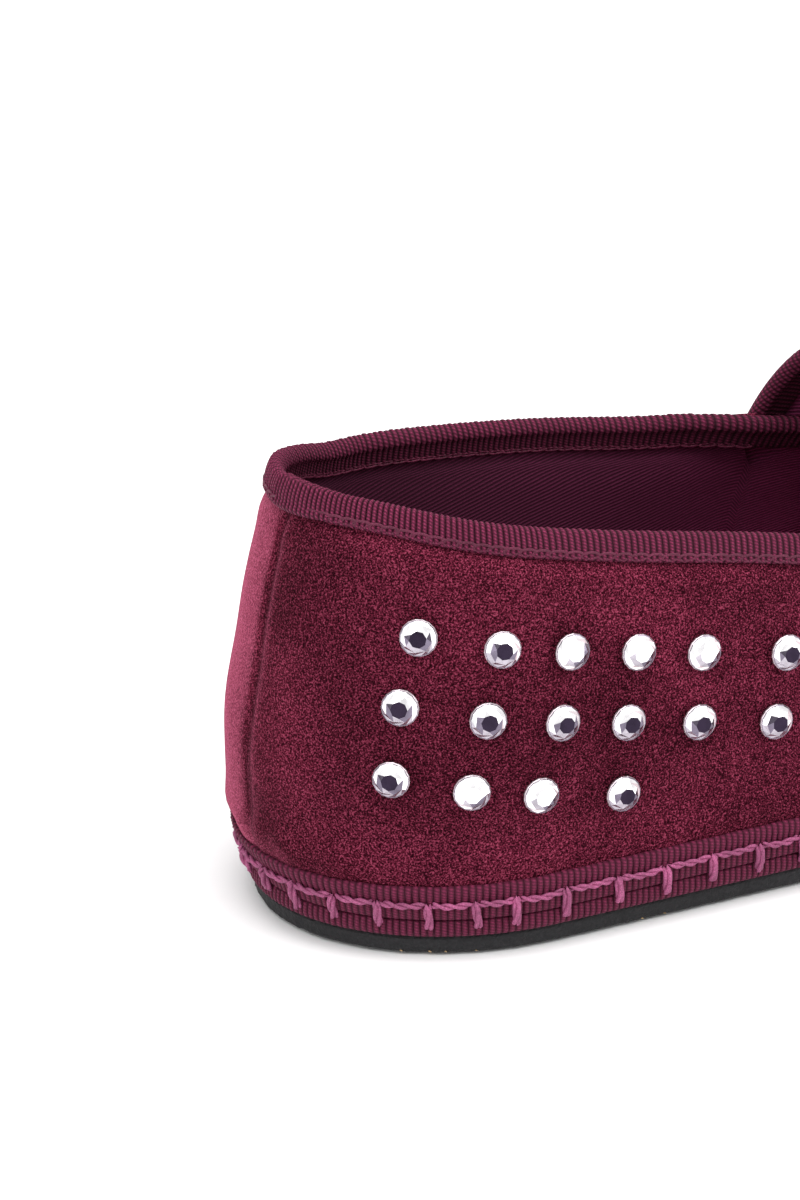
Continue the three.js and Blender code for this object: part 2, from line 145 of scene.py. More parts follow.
Rib = collections.namedtuple("Rib", "base_x base_y ridge_x ridge_y station sweep swell out_x out_y")


def column(table, name, x):
    """Smooth value of one column of a table; x is looked up in the table's first column."""
    last = len(table) - 1
    x = min(max(x, table[0][0]), table[last][0])
    row = 0
    while row < last - 1 and x > table[row + 1][0]:
        row += 1

    def slope(index):
        before = table[max(index - 1, 0)]
        after = table[min(index + 1, last)]
        return (getattr(after, name) - getattr(before, name)) / (after[0] - before[0])

    run = table[row + 1][0] - table[row][0]
    t = (x - table[row][0]) / run
    start = getattr(table[row], name)
    rise = getattr(table[row + 1], name) - start
    leaving = slope(row) * run
    arriving = slope(row + 1) * run
    square = 3 * rise - 2 * leaving - arriving
    cubic = leaving + arriving - 2 * rise
    return start + t * (leaving + t * (square + t * cubic))


def clamp(value):
    """A value held between 0 and 1."""
    return min(max(value, 0.0), 1.0)


def lift(x):
    """Height that the toe spring and the arch add at x."""
    spring = max(0, (x - SPRING_FROM_X) / (TIP_X - SPRING_FROM_X))
    arch = clamp((x - ARCH_FROM_X) / (ARCH_TO_X - ARCH_FROM_X))
    return TOE_SPRING * spring ** 2 + ARCH_RISE * math.sin(math.pi * arch) ** 2


def bezier(points, t):
    """Point of a plane cubic curve."""
    weights = ((1 - t) ** 3, 3 * (1 - t) ** 2 * t, 3 * (1 - t) * t * t, t ** 3)
    return tuple(sum(w * p[axis] for w, p in zip(weights, points)) for axis in (0, 1))


def heel_points(side):
    """Handles of the round heel on one side."""
    edge = getattr(SECTIONS[0], side)
    sign = math.copysign(1, edge)
    handle = (HEEL_CENTRE_X - HEEL_HANDLE_X, edge - sign * HEEL_TUCK[side])
    return ((0, 0), (0, sign * HEEL_HANDLE_Y), handle, (HEEL_CENTRE_X, edge))


def toe_points(side):
    """Handles of the toe on one side."""
    edge = getattr(SECTIONS[-1], side)
    return ((TOE_CENTRE_X, edge), *TOE_HANDLES[side], (TIP_X, TIP_Y))


def swell_column(side):
    """Name of the column that swells the wall on one side."""
    return "outer_swell" if side == "lateral" else "inner_swell"


def station_rib(side, x, out=(0, 0)):
    """Rib between the heel centre and the toe centre."""
    return Rib(
        x, column(SECTIONS, side, x), x, column(SECTIONS, "ridge", x), x,
        column(SECTIONS, "sweep", x), column(SECTIONS, swell_column(side), x), out[0], out[1],
    )


def end_rib(point, station, swell):
    """Rib of the round heel or of the toe."""
    return Rib(point[0], point[1], station, column(SECTIONS, "ridge", station), station, 0, swell, 0, 0)


def side_ribs(side, heel_steps, stations, toe_steps):
    """Ribs of one side from the middle of the heel to the tip."""
    name = swell_column(side)
    ribs = []
    for step in range(heel_steps):
        t = step / heel_steps
        swell = HEEL_SWELL + (getattr(SECTIONS[0], name) - HEEL_SWELL) * t * t
        ribs.append(end_rib(bezier(heel_points(side), t), HEEL_CENTRE_X, swell))
    ribs.extend(station_rib(side, x) for x in stations)
    swell = getattr(SECTIONS[-1], name)
    for step in range(1, toe_steps + 1):
        ribs.append(end_rib(bezier(toe_points(side), step / toe_steps), TOE_CENTRE_X, swell))
    return ribs


def closed_ring(heel_steps, stations, toe_steps):
    """Ribs round the whole shoe by the outer side, each with its outward direction."""
    outer = side_ribs("lateral", heel_steps, stations, toe_steps)
    inner = side_ribs("medial", heel_steps, stations, toe_steps)
    ring = outer + inner[1:-1][::-1]
    turned = []
    for index, rib in enumerate(ring):
        before = ring[index - 1]
        after = ring[(index + 1) % len(ring)]
        along = Vector((after.base_x - before.base_x, after.base_y - before.base_y)).normalized()
        turned.append(rib._replace(out_x=along.y, out_y=-along.x))
    return turned


# A close ring of ribs on which any distance along the outline is looked up.
FINE_STATIONS = [HEEL_CENTRE_X + 0.7 * step for step in range(250)] + [TOE_CENTRE_X]
FINE_RING = closed_ring(90, FINE_STATIONS, 80)
NEAR_STATION = 0.36


def ring_distances(ring):
    """Distance along the outline at which each rib stands."""
    distances = [0.0]
    for index, rib in enumerate(ring):
        after = ring[(index + 1) % len(ring)]
        distances.append(distances[-1] + math.hypot(after.base_x - rib.base_x, after.base_y - rib.base_y))
    return distances


FINE_DISTANCES = ring_distances(FINE_RING)
GIRTH = FINE_DISTANCES[-1]


def rib_at(distance):
    """Rib at a distance along the outline from the middle of the heel, outer side first."""
    distance %= GIRTH
    index = min(bisect.bisect_right(FINE_DISTANCES, distance) - 1, len(FINE_RING) - 1)
    here = FINE_RING[index]
    after = FINE_RING[(index + 1) % len(FINE_RING)]
    run = FINE_DISTANCES[index + 1] - FINE_DISTANCES[index]
    t = (distance - FINE_DISTANCES[index]) / run
    return Rib(*(a + (b - a) * t for a, b in zip(here, after)))


def distance_of(side, x):
    """Distance along the outline of a station on one side."""
    for index, rib in enumerate(FINE_RING):
        on_side = rib.base_y < 0 if side == "lateral" else rib.base_y > 0
        if on_side and abs(rib.station - x) < NEAR_STATION and HEEL_CENTRE_X < x < TOE_CENTRE_X:
            slack = x - rib.base_x
            return FINE_DISTANCES[index] + (slack if side == "lateral" else -slack)
    raise RuntimeError("no rib at station %s" % x)


LATERAL_SEAM = distance_of("lateral", SEAM_X)
MEDIAL_SEAM = distance_of("medial", SEAM_X)


def form(rib, share, offset):
    """Point of the foot form, in the shoe's millimetres, at a share of the crown height."""
    fullness = column(SECTIONS, "fullness", rib.station)
    crown = column(SECTIONS, "crown", rib.station) + offset - UPPER_BOTTOM
    spread = max(0.0, 1 - max(share, 0.0) ** fullness) ** (1 / fullness)
    bulge = rib.swell * (share / SWELL_AT) * math.exp(1 - share / SWELL_AT) * spread
    stand = offset + UPPER_OUT
    x = rib.ridge_x + (rib.base_x + rib.out_x * stand - rib.ridge_x) * spread + rib.out_x * bulge
    x += rib.sweep * (1 - spread ** 2)
    y = rib.ridge_y + (rib.base_y + rib.out_y * stand - rib.ridge_y) * spread + rib.out_y * bulge
    drop = CAP_SLOPE * max(0.0, x - TOE_CENTRE_X) * share
    return Vector((x, y, UPPER_BOTTOM + crown * share + drop + lift(x)))


def share_at(rib, height_of, offset=0):
    """Share of the crown at which a rib reaches a height given as a function of x."""
    crown = column(SECTIONS, "crown", rib.station) + offset - UPPER_BOTTOM
    share = FIRST_SHARE
    for _ in range(SHARE_STEPS):
        point = form(rib, share, offset)
        share = clamp(share + (height_of(point.x) - point.z) / crown)
    return share


def wall_edge(x):
    """Height of the cut edge of the quarters under the binding."""
    return column(TOPLINE, "height", x) - RIBBON - GAP


def around(distance):
    """Distance from the middle of the heel, negative on the inner side."""
    return (distance + GIRTH / 2) % GIRTH - GIRTH / 2


# How the cloth departs from the plain form: the bound edge rises and is drawn in, the heel is fuller below.
Bound = collections.namedtuple("Bound", "distance rise inset")
BOUND_EDGE = (
    Bound(-118, 2.5, 0.2), Bound(-107, 3, 0.2), Bound(-103, 2.7, 0.2), Bound(-100, 2.1, 0.2),
    Bound(-93, 1.4, 0.2), Bound(-80, 0.7, 0.2), Bound(-70, 0.4, 0.25), Bound(-60, 0.2, 0.4),
    Bound(-50, -0.2, 0.7), Bound(-38, -1.4, 1.1), Bound(-30, -1, 1.1), Bound(-20, -0.6, 0.95),
    Bound(-8, -0.5, 0.85), Bound(0, -0.3, 0.95), Bound(10, 0.5, 1.15), Bound(20, 1.1, 1.2),
    Bound(35, 0.85, 1.05), Bound(60, 0.6, 0.95), Bound(118, 0.5, 0.95),
)
Level = collections.namedtuple("Level", "height out")
HEEL_LEVELS = (
    Level(2, -0.9), Level(6, -1.1), Level(9, -0.8), Level(12, -0.1), Level(18, 0.35), Level(26, 0.6),
    Level(38, -0.4), Level(46, -0.6), Level(55, -1.1), Level(61, -1.75),
)
HEEL_FULL_AT = -8
HEEL_FULL_WIDTH = 24


def hump(value, middle, width):
    """A soft bell that is 1 at its middle."""
    return math.exp(-((value - middle) / width) ** 2)


def bound_rise(distance):
    """How much higher the bound edge stands than the plain topline."""
    return column(BOUND_EDGE, "rise", around(distance))


def bound_inset(distance):
    """How far the bound edge is drawn into the shoe."""
    return column(BOUND_EDGE, "inset", around(distance))


def heel_out(distance, height):
    """How far the heel stands out from the plain form at a height."""
    return column(HEEL_LEVELS, "out", height) * hump(around(distance), HEEL_FULL_AT, HEEL_FULL_WIDTH)


def in_mm(length):
    """A length in metres as the shoe's millimetres."""
    return length / MM


def to_frame(point):
    """The shoe's millimetres to the frame's metres."""
    return point * MM + SHIFT


def deselect():
    """Nothing selected and object mode."""
    if bpy.context.object and bpy.context.object.mode != "OBJECT":
        bpy.ops.object.mode_set(mode="OBJECT")
    bpy.ops.object.select_all(action="DESELECT")


def make_active(obj):
    """Only this object selected."""
    deselect()
    obj.select_set(True)
    bpy.context.view_layer.objects.active = obj


def tidy_mesh(obj):
    """Merge meeting points and turn the faces outwards."""
    make_active(obj)
    bpy.ops.object.mode_set(mode="EDIT")
    bpy.ops.mesh.select_all(action="SELECT")
    bpy.ops.mesh.remove_doubles(threshold=SAME_POINT)
    bpy.ops.mesh.normals_make_consistent(inside=False)
    bpy.ops.object.mode_set(mode="OBJECT")


def face_outwards(sheet):
    """Flip an open sheet whose faces look into the shoe."""
    inside = to_frame(INSIDE_POINT)
    votes = 0
    for polygon in sheet.data.polygons:
        votes += 1 if polygon.normal.dot(polygon.center - inside) > 0 else -1
    if votes < 0:
        make_active(sheet)
        bpy.ops.object.mode_set(mode="EDIT")
        bpy.ops.mesh.select_all(action="SELECT")
        bpy.ops.mesh.flip_normals()
        bpy.ops.object.mode_set(mode="OBJECT")


def fill_openings(obj):
    """Close the open ends of a mesh and turn its faces outwards."""
    make_active(obj)
    bpy.ops.object.mode_set(mode="EDIT")
    bpy.ops.mesh.select_all(action="DESELECT")
    bpy.ops.mesh.select_non_manifold()
    bpy.ops.mesh.edge_face_add()
    bpy.ops.mesh.select_all(action="SELECT")
    bpy.ops.mesh.normals_make_consistent(inside=False)
    bpy.ops.object.mode_set(mode="OBJECT")


def shaped_grid(name, columns, rows, place, uv_of=None, weight_of=None):
    """A grid primitive whose points a function of column and row puts in place, in shoe millimetres."""
    deselect()
    bpy.ops.mesh.primitive_grid_add(x_subdivisions=columns, y_subdivisions=rows, size=1, location=(0, 0, 0))
    obj = bpy.context.active_object
    obj.name = name
    obj.data.name = name
    cells = []
    for vertex in obj.data.vertices:
        cell = (round((vertex.co.x + 0.5) * columns), round((vertex.co.y + 0.5) * rows))
        cells.append(cell)
        vertex.co = to_frame(place(*cell))
    if uv_of:
        layer = obj.data.uv_layers.active.data
        for loop in obj.data.loops:
            layer[loop.index].uv = uv_of(*cells[loop.vertex_index])
    if weight_of:
        group = obj.vertex_groups.new(name="wall")
        for index, cell in enumerate(cells):
            group.add([index], weight_of(*cell), "REPLACE")
    return obj


def join(parts, name):
    """Several objects made one."""
    make_active(parts[0])
    for part in parts:
        part.select_set(True)
    bpy.ops.object.join()
    obj = bpy.context.active_object
    obj.name = name
    obj.data.name = name
    return obj


def smooth(obj, angle=40):
    """Smooth shading with sharp edges kept."""
    make_active(obj)
    bpy.ops.object.shade_smooth_by_angle(angle=math.radians(angle))


def apply_modifier(obj, kind, **settings):
    """Add one modifier, set it and apply it."""
    make_active(obj)
    modifier = obj.modifiers.new(kind.title(), kind)
    for key, value in settings.items():
        setattr(modifier, key, value)
    bpy.ops.object.modifier_apply(modifier=modifier.name)


def finish_piece(obj, nodes=(), materials=()):
    """Materials, body and hidden stand-in nodes of one piece."""
    for material in materials:
        obj.data.materials.append(material)
    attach(obj, "root")
    if nodes:
        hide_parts(*nodes)
    return obj


# Materials.


def new_material(name):
    """A node material with its shader and object coordinates."""
    material = bpy.data.materials.new(name)
    material.use_nodes = True
    nodes = material.node_tree.nodes
    shader = nodes["Principled BSDF"]
    coordinates = nodes.new("ShaderNodeTexCoord")
    return material, shader, coordinates


def add_node(tree, kind, **values):
    """One node with its settings and unlinked inputs filled."""
    node = tree.nodes.new(kind)
    for key, value in values.items():
        if key in node.inputs:
            node.inputs[key].default_value = value
        else:
            setattr(node, key, value)
    return node


def ramp(tree, factor, stops):
    """A colour ramp with the given stops."""
    node = tree.nodes.new("ShaderNodeValToRGB")
    elements = node.color_ramp.elements
    while len(elements) < len(stops):
        elements.new(0.5)
    for element, (place, colour) in zip(elements, stops):
        element.position = place
        element.color = (*colour, 1)
    tree.links.new(factor, node.inputs["Fac"])
    return node.outputs["Color"]


def fibre_group():
    """Shared effect: fine fibre speckle over broad brushed patches."""
    name = "fibre_speckle"
    if name in bpy.data.node_groups:
        return bpy.data.node_groups[name]
    tree = bpy.data.node_groups.new(name, "ShaderNodeTree")
    face = tree.interface
    face.new_socket("Place", in_out="INPUT", socket_type="NodeSocketVector")
    for label, value in (("Fine", 4200.0), ("Broad", 60.0), ("Mix", 0.35)):
        socket = face.new_socket(label, in_out="INPUT", socket_type="NodeSocketFloat")
        socket.default_value = value
    face.new_socket("Speckle", in_out="OUTPUT", socket_type="NodeSocketFloat")
    face.new_socket("Patches", in_out="OUTPUT", socket_type="NodeSocketFloat")
    face.new_socket("Blend", in_out="OUTPUT", socket_type="NodeSocketFloat")
    inlet = tree.nodes.new("NodeGroupInput")
    outlet = tree.nodes.new("NodeGroupOutput")
    fine = add_node(tree, "ShaderNodeTexNoise", Detail=2.0, Roughness=0.6)
    broad = add_node(tree, "ShaderNodeTexNoise", Detail=4.0, Roughness=0.55, Distortion=0.4)
    mix = add_node(tree, "ShaderNodeMix", data_type="FLOAT")
    for texture, label in ((fine, "Fine"), (broad, "Broad")):
        tree.links.new(inlet.outputs["Place"], texture.inputs["Vector"])
        tree.links.new(inlet.outputs[label], texture.inputs["Scale"])
    tree.links.new(inlet.outputs["Mix"], mix.inputs[0])
    tree.links.new(fine.outputs["Fac"], mix.inputs[2])
    tree.links.new(broad.outputs["Fac"], mix.inputs[3])
    tree.links.new(fine.outputs["Fac"], outlet.inputs["Speckle"])
    tree.links.new(broad.outputs["Fac"], outlet.inputs["Patches"])
    tree.links.new(mix.outputs[0], outlet.inputs["Blend"])
    return tree


def place_fibres(tree, coordinates, fine, broad, mix):
    """The fibre effect placed in a material."""
    node = tree.nodes.new("ShaderNodeGroup")
    node.node_tree = fibre_group()
    node.inputs["Fine"].default_value = fine
    node.inputs["Broad"].default_value = broad
    node.inputs["Mix"].default_value = mix
    tree.links.new(coordinates.outputs["Object"], node.inputs["Place"])
    return node


def bump(tree, shader, height, strength, distance):
    """A bump node on the shader's normal."""
    node = add_node(tree, "ShaderNodeBump", Strength=strength, Distance=distance)
    tree.links.new(height, node.inputs["Height"])
    tree.links.new(node.outputs["Normal"], shader.inputs["Normal"])


def scaled(colour, factor):
    """A colour made lighter or darker."""
    return tuple(min(1.0, channel * factor) for channel in colour)


def multiply(tree, colour, factor):
    """A colour made lighter or darker by a factor output."""
    node = add_node(tree, "ShaderNodeMix", data_type="RGBA", blend_type="MULTIPLY")
    node.inputs[0].default_value = 1.0
    tree.links.new(colour, node.inputs[6])
    tree.links.new(factor, node.inputs[7])
    return node.outputs[2]


def blend(tree, factor, first, second):
    """Two colours blended by a factor output."""
    node = add_node(tree, "ShaderNodeMix", data_type="RGBA")
    tree.links.new(factor, node.inputs[0])
    tree.links.new(first, node.inputs[6])
    tree.links.new(second, node.inputs[7])
    return node.outputs[2]


def math_node(tree, operation, first, second=None, third=None):
    """One math node; each input is an output socket or a number."""
    node = add_node(tree, "ShaderNodeMath", operation=operation)
    for socket, value in zip(node.inputs, (first, second, third)):
        if isinstance(value, (int, float)):
            socket.default_value = value
        elif value is not None:
            tree.links.new(value, socket)
    return node.outputs["Value"]


def cloth_uv(tree, coordinates):
    """The U and V of a piece's own map."""
    split = add_node(tree, "ShaderNodeSeparateXYZ")
    tree.links.new(coordinates.outputs["UV"], split.inputs["Vector"])
    return split.outputs["X"], split.outputs["Y"]


def grey(value):
    """A neutral colour."""
    return (value, value, value)


def pile_roots(tree, fibres, round_shoe, colours):
    """Pile seen from the front: dark roots and flecks, brushed in patches, with painted shade on the outer
    side next to the heel and painted light along the middle of the outer side.
    """
    flecks = ramp(tree, fibres.outputs["Blend"], (
        (0.40, colours.pile_root),
        (0.49, scaled(colours.velvet, 0.75)),
        (0.55, scaled(colours.velvet, 1.5)),
        (0.65, colours.pile_fleck),
    ))
    brushed = ramp(tree, fibres.outputs["Patches"], (
        (0.34, grey(0.74)), (0.5, grey(0.92)), (0.68, grey(1.15)),
    ))
    # Painted light and shade: darker on the outer side next to the heel, lighter along the middle of the
    # outer side.
    side_light_and_shade = ramp(tree, round_shoe, (
        (0.03, grey(0.88)), (0.075, grey(0.98)), (0.105, grey(1.2)), (0.2, grey(1.15)), (0.5, grey(1.0)),
    ))
    return multiply(tree, multiply(tree, flecks, brushed), side_light_and_shade)


def tip_sheen_ramp(tree, fibres, colours):
    """Painted sheen: the pink of the pile tips that the base colour shows at grazing angles."""
    return ramp(tree, fibres.outputs["Blend"], (
        (0.38, scaled(colours.tip_sheen_colour, 0.4)), (0.5, colours.tip_sheen_colour), (0.64, colours.tip_sheen_peak),
    ))


def velvet_material(colours):
    """Short pile: dark roots, bright flecks and brushed patches, with painted light and shade along the
    outer side, painted shade in the heel seam's groove, and a painted sheen of pink tips at grazing angles.
    """
    material, shader, coordinates = new_material("burgundy_velvet")
    tree = material.node_tree
    fibres = place_fibres(tree, coordinates, 4000.0, 42.0, 0.1)
    along, _ = cloth_uv(tree, coordinates)
    round_shoe = math_node(tree, "DIVIDE", along, GIRTH)
    roots = pile_roots(tree, fibres, round_shoe, colours)
    tips = tip_sheen_ramp(tree, fibres, colours)
    # Painted sheen: the base colour turns to pink tips at grazing angles, fully on the inner side by the
    # heel and less elsewhere.
    grazing = add_node(tree, "ShaderNodeLayerWeight", Blend=0.5)
    edge = ramp(tree, grazing.outputs["Facing"], ((0.42, grey(0.0)), (0.6, grey(0.45)), (0.85, grey(1.0))))
    heel_sheen_reach = ramp(tree, round_shoe, ((0.72, grey(0.4)), (0.93, grey(1.0))))
    pile = blend(tree, math_node(tree, "MULTIPLY", edge, heel_sheen_reach), roots, tips)
    # Painted shade in the groove of the heel seam, darkest on the seam line.
    from_seam = math_node(tree, "PINGPONG", along, GIRTH / 2)
    seam = ramp(tree, math_node(tree, "DIVIDE", from_seam, 4.0), ((0.04, grey(0.55)), (0.25, grey(1.0))))
    tree.links.new(multiply(tree, pile, seam), shader.inputs["Base Color"])
    shader.inputs["Roughness"].default_value = 0.9
    shader.inputs["Specular IOR Level"].default_value = 0.03
    shader.inputs["Sheen Weight"].default_value = 0.05
    shader.inputs["Sheen Roughness"].default_value = 0.3
    shader.inputs["Sheen Tint"].default_value = (*colours.sheen, 1)
    bump(tree, shader, fibres.outputs["Speckle"], 0.7, 0.0004)
    return material


def rib_weave(tree, along, across):
    """Ribs, one for each turn of U, crossed by fine slanting threads along V."""
    turn = math_node(tree, "MULTIPLY", along, math.pi)
    crest = math_node(tree, "ABSOLUTE", math_node(tree, "COSINE", turn))
    ribs = math_node(tree, "POWER", crest, 0.8)
    slant = math_node(tree, "ADD", math_node(tree, "MULTIPLY", across, 14.0), turn)
    threads = math_node(tree, "MULTIPLY_ADD", math_node(tree, "SINE", slant), 0.2, 0.75)
    return math_node(tree, "MULTIPLY", ribs, threads)


def ribbon_material(colours):
    """Ribbed ribbon with painted shade in the rib grooves and painted highlights on the rib crests, softer
    on flat ribbons, and with painted shade on the inner face of folded ones.
    """
    material, shader, coordinates = new_material("ribbed_ribbon")
    tree = material.node_tree
    along, across = cloth_uv(tree, coordinates)
    fibres = place_fibres(tree, coordinates, 5200.0, 120.0, 0.2)
    fuzz = math_node(tree, "MULTIPLY_ADD", fibres.outputs["Blend"], 0.9, 0.5)
    weave = math_node(tree, "MULTIPLY", rib_weave(tree, along, across), fuzz)
    folded = math_node(tree, "GREATER_THAN", across, 0.0)
    keep = math_node(tree, "MULTIPLY_ADD", folded, 0.25, 0.75)
    even = math_node(tree, "SUBTRACT", weave, 0.55)
    lit = math_node(tree, "MULTIPLY_ADD", even, keep, 0.55)
    # Painted shade in the rib grooves and painted highlights on the rib crests and thread crossings, weaker
    # on flat ribbons.
    colour = ramp(tree, lit, (
        (0.12, scaled(colours.ribbon, 0.18)),
        (0.45, scaled(colours.ribbon, 0.7)),
        (0.72, scaled(colours.ribbon, 1.3)),
        (0.95, scaled(colours.ribbon, 2.6)),
    ))
    # Painted shade on the inner face of a folded ribbon.
    inner_face = math_node(tree, "DIVIDE", across, FOLD_LENGTHS[-1])
    shade = ramp(tree, inner_face, ((0.54, grey(1.0)), (0.66, grey(0.78)), (0.75, grey(0.62))))
    tree.links.new(multiply(tree, colour, shade), shader.inputs["Base Color"])
    shader.inputs["Roughness"].default_value = 0.6
    shader.inputs["Specular IOR Level"].default_value = 0.12
    shader.inputs["Sheen Weight"].default_value = 0.06
    shader.inputs["Sheen Tint"].default_value = (*colours.sheen, 1)
    bump(tree, shader, lit, 0.6, 0.0003)
    return material


def lining_material(colours):
    """Dark twill with a fine slanting rib, with painted light over most of it and painted shade on the
    inner side towards the heel; the cloth's U and V are millimetres.
    """
    material, shader, coordinates = new_material("twill_lining")
    tree = material.node_tree
    along, up = cloth_uv(tree, coordinates)
    fibres = place_fibres(tree, coordinates, 4200.0, 45.0, 0.4)
    run = math_node(tree, "MULTIPLY_ADD", along, 0.42, up)
    wander = math_node(tree, "MULTIPLY_ADD", fibres.outputs["Patches"], 0.8, run)
    wave = math_node(tree, "SINE", math_node(tree, "MULTIPLY", wander, 9.5))
    twill = math_node(tree, "MULTIPLY_ADD", wave, 0.5, 0.5)
    mix = math_node(tree, "MULTIPLY", twill, fibres.outputs["Blend"])
    colour = ramp(tree, mix, (
        (0.05, scaled(colours.lining, 0.7)), (0.28, colours.lining), (0.55, scaled(colours.lining, 2.1)),
    ))
    round_shoe = math_node(tree, "DIVIDE", along, GIRTH)
    # Painted light and shade: brighter over most of the lining, darker on the inner side towards the heel.
    lining_light_and_shade = ramp(tree, round_shoe, (
        (0.79, grey(1.6)), (0.81, grey(1.2)), (0.835, grey(0.78)), (0.87, grey(0.62)), (0.92, grey(0.52)),
    ))
    tree.links.new(multiply(tree, colour, lining_light_and_shade), shader.inputs["Base Color"])
    shader.inputs["Roughness"].default_value = 0.85
    shader.inputs["Specular IOR Level"].default_value = 0.2
    bump(tree, shader, mix, 0.5, 0.0004)
    return material


def thread_material(name, tone):
    """Twisted cotton thread."""
    material, shader, coordinates = new_material(name)
    tree = material.node_tree
    fibres = place_fibres(tree, coordinates, 5200.0, 220.0, 0.4)
    colour = ramp(tree, fibres.outputs["Blend"], (
        (0.30, scaled(tone, 0.42)), (0.52, tone), (0.70, scaled(tone, 1.9)),
    ))
    tree.links.new(colour, shader.inputs["Base Color"])
    shader.inputs["Roughness"].default_value = 0.55
    shader.inputs["Specular IOR Level"].default_value = 0.3
    bump(tree, shader, fibres.outputs["Speckle"], 0.3, 0.0002)
    return material


def rubber_material(colours):
    """Worn black rubber, greyer where it is buffed."""
    material, shader, coordinates = new_material("tread_rubber")
    tree = material.node_tree
    fibres = place_fibres(tree, coordinates, 1800.0, 70.0, 0.6)
    colour = ramp(tree, fibres.outputs["Blend"], (
        (0.30, scaled(colours.rubber, 0.55)), (0.50, colours.rubber), (0.72, scaled(colours.rubber, 2.2)),
    ))
    tree.links.new(colour, shader.inputs["Base Color"])
    rough = ramp(tree, fibres.outputs["Patches"], ((0.3, grey(0.48)), (0.7, grey(0.8))))
    tree.links.new(rough, shader.inputs["Roughness"])
    shader.inputs["Specular IOR Level"].default_value = 0.25
    bump(tree, shader, fibres.outputs["Speckle"], 0.55, 0.0005)
    return material


def cord_material(colours):
    """Frayed beige cord of the tread stock."""
    material, shader, coordinates = new_material("beige_cord")
    tree = material.node_tree
    fibres = place_fibres(tree, coordinates, 2600.0, 300.0, 0.4)
    colour = ramp(tree, fibres.outputs["Blend"], (
        (0.32, scaled(colours.cord, 0.35)), (0.50, colours.cord), (0.70, scaled(colours.cord, 1.3)),
    ))
    tree.links.new(colour, shader.inputs["Base Color"])
    shader.inputs["Roughness"].default_value = 0.9
    bump(tree, shader, fibres.outputs["Speckle"], 0.4, 0.0003)
    return material


def stone_material(name, tone, roughness, glow):
    """Foil-backed stone face with faint haze; its base colour is a painted reflection, and bright faces
    glow though they are no lamp.
    """
    material, shader, coordinates = new_material(name)
    tree = material.node_tree
    fibres = place_fibres(tree, coordinates, 900.0, 420.0, 0.5)
    colour = ramp(tree, fibres.outputs["Patches"], ((0.35, scaled(tone, 0.72)), (0.6, tone)))
    tree.links.new(colour, shader.inputs["Base Color"])
    haze = ramp(tree, fibres.outputs["Speckle"], ((0.3, grey(roughness)), (0.8, grey(roughness * 2.5))))
    tree.links.new(haze, shader.inputs["Roughness"])
    shader.inputs["Metallic"].default_value = 0.9
    tree.links.new(colour, shader.inputs["Emission Color"])
    shader.inputs["Emission Strength"].default_value = glow
    return material


def floor_material(colours):
    """Plain pale floor with a trace of paper grain."""
    material, shader, coordinates = new_material("pale_floor")
    tree = material.node_tree
    fibres = place_fibres(tree, coordinates, 300.0, 4.0, 0.5)
    colour = ramp(tree, fibres.outputs["Blend"], (
        (0.3, scaled(colours.floor, 0.985)), (0.7, colours.floor),
    ))
    tree.links.new(colour, shader.inputs["Base Color"])
    shader.inputs["Roughness"].default_value = 0.9
    shader.inputs["Specular IOR Level"].default_value = 0.1
    return material


def shared_material(name, make, *values):
    """A material made once and used by several pieces."""
    if name in bpy.data.materials:
        return bpy.data.materials[name]
    return make(*values)


# Upper.

# Soft creases of the cloth: their middles, sizes, depths and slopes.
Trough = collections.namedtuple("Trough", "distance height length width depth slope")
TROUGHS = (
    Trough(16, 22, 26, 6, 0.2, 0.2),
    Trough(33, 17, 22, 4, 0.3, -0.1),
    Trough(58, 16, 24, 4, 0.3, 0.1),
    Trough(76, 40, 24, 6, 0.35, 0.5),
    Trough(138, 30, 26, 5, 0.6, 0.5),
    Trough(160, 28, 26, 5, 0.7, 0.35),
    Trough(403, 28, 26, 5, 0.7, -0.35),
    Trough(425, 30, 26, 5, 0.6, -0.5),
    Trough(-16, 24, 26, 5, 0.35, -0.2),
    Trough(-45, 18, 24, 4, 0.3, 0.1),
)
# Fine relief of the velvet: how far it stands out, where it lies and how wide it is.
Relief = collections.namedtuple("Relief", "rise at width")
HEEL_SEAM = Relief(-0.32, 0, 0.7)
SEAM_SHOULDER = Relief(0.06, 2.2, 1.4)
HEM_PUCKER = Relief(0.16, 13, 3)
HEM_PUFF = Relief(0.45, 14, 2.4)
COLLAR_ROLL = Relief(0.3, 6.3, 2.2)
STITCH_DENT = Relief(0.25, STITCH_TOP, 0.8)
EDGE_PINCH = 0.5
BOUND_DEPTH = 4.1
BOUND_FADE = 0.5
MOST_FADE = 30.0


def stands_out(relief, value):
    """How far one relief stands out at a place."""
    return relief.rise * hump(value, relief.at, relief.width)


def at_edge(drop):
    """Share of the bound edge's pinch at a distance below the cut edge."""
    return 1 / (1 + math.exp(min(MOST_FADE, (drop - BOUND_DEPTH) / BOUND_FADE)))


def cloth_relief(distance, height, drop, stitch_pitch, inset):
    """How far the velvet stands out from the plain form: seam, creases, hem puckers, bound edge."""
    wrapped = around(distance)
    seam = stands_out(HEEL_SEAM, wrapped) + stands_out(SEAM_SHOULDER, abs(wrapped))
    folds = 0.0
    for trough in TROUGHS:
        along = around(distance - trough.distance)
        across = height - trough.height - trough.slope * along
        folds -= trough.depth * math.exp(-(along / trough.length * 2) ** 2 - (across / trough.width) ** 2)
    pucker = math.cos(2 * math.pi * distance / stitch_pitch) * stands_out(HEM_PUCKER, height)
    puff = stands_out(HEM_PUFF, height)
    roll = stands_out(COLLAR_ROLL, drop)
    cloth = seam + folds + pucker + puff + roll + heel_out(distance, height)
    pinch = at_edge(drop)
    return cloth * (1 - pinch) - (inset + EDGE_PINCH) * pinch


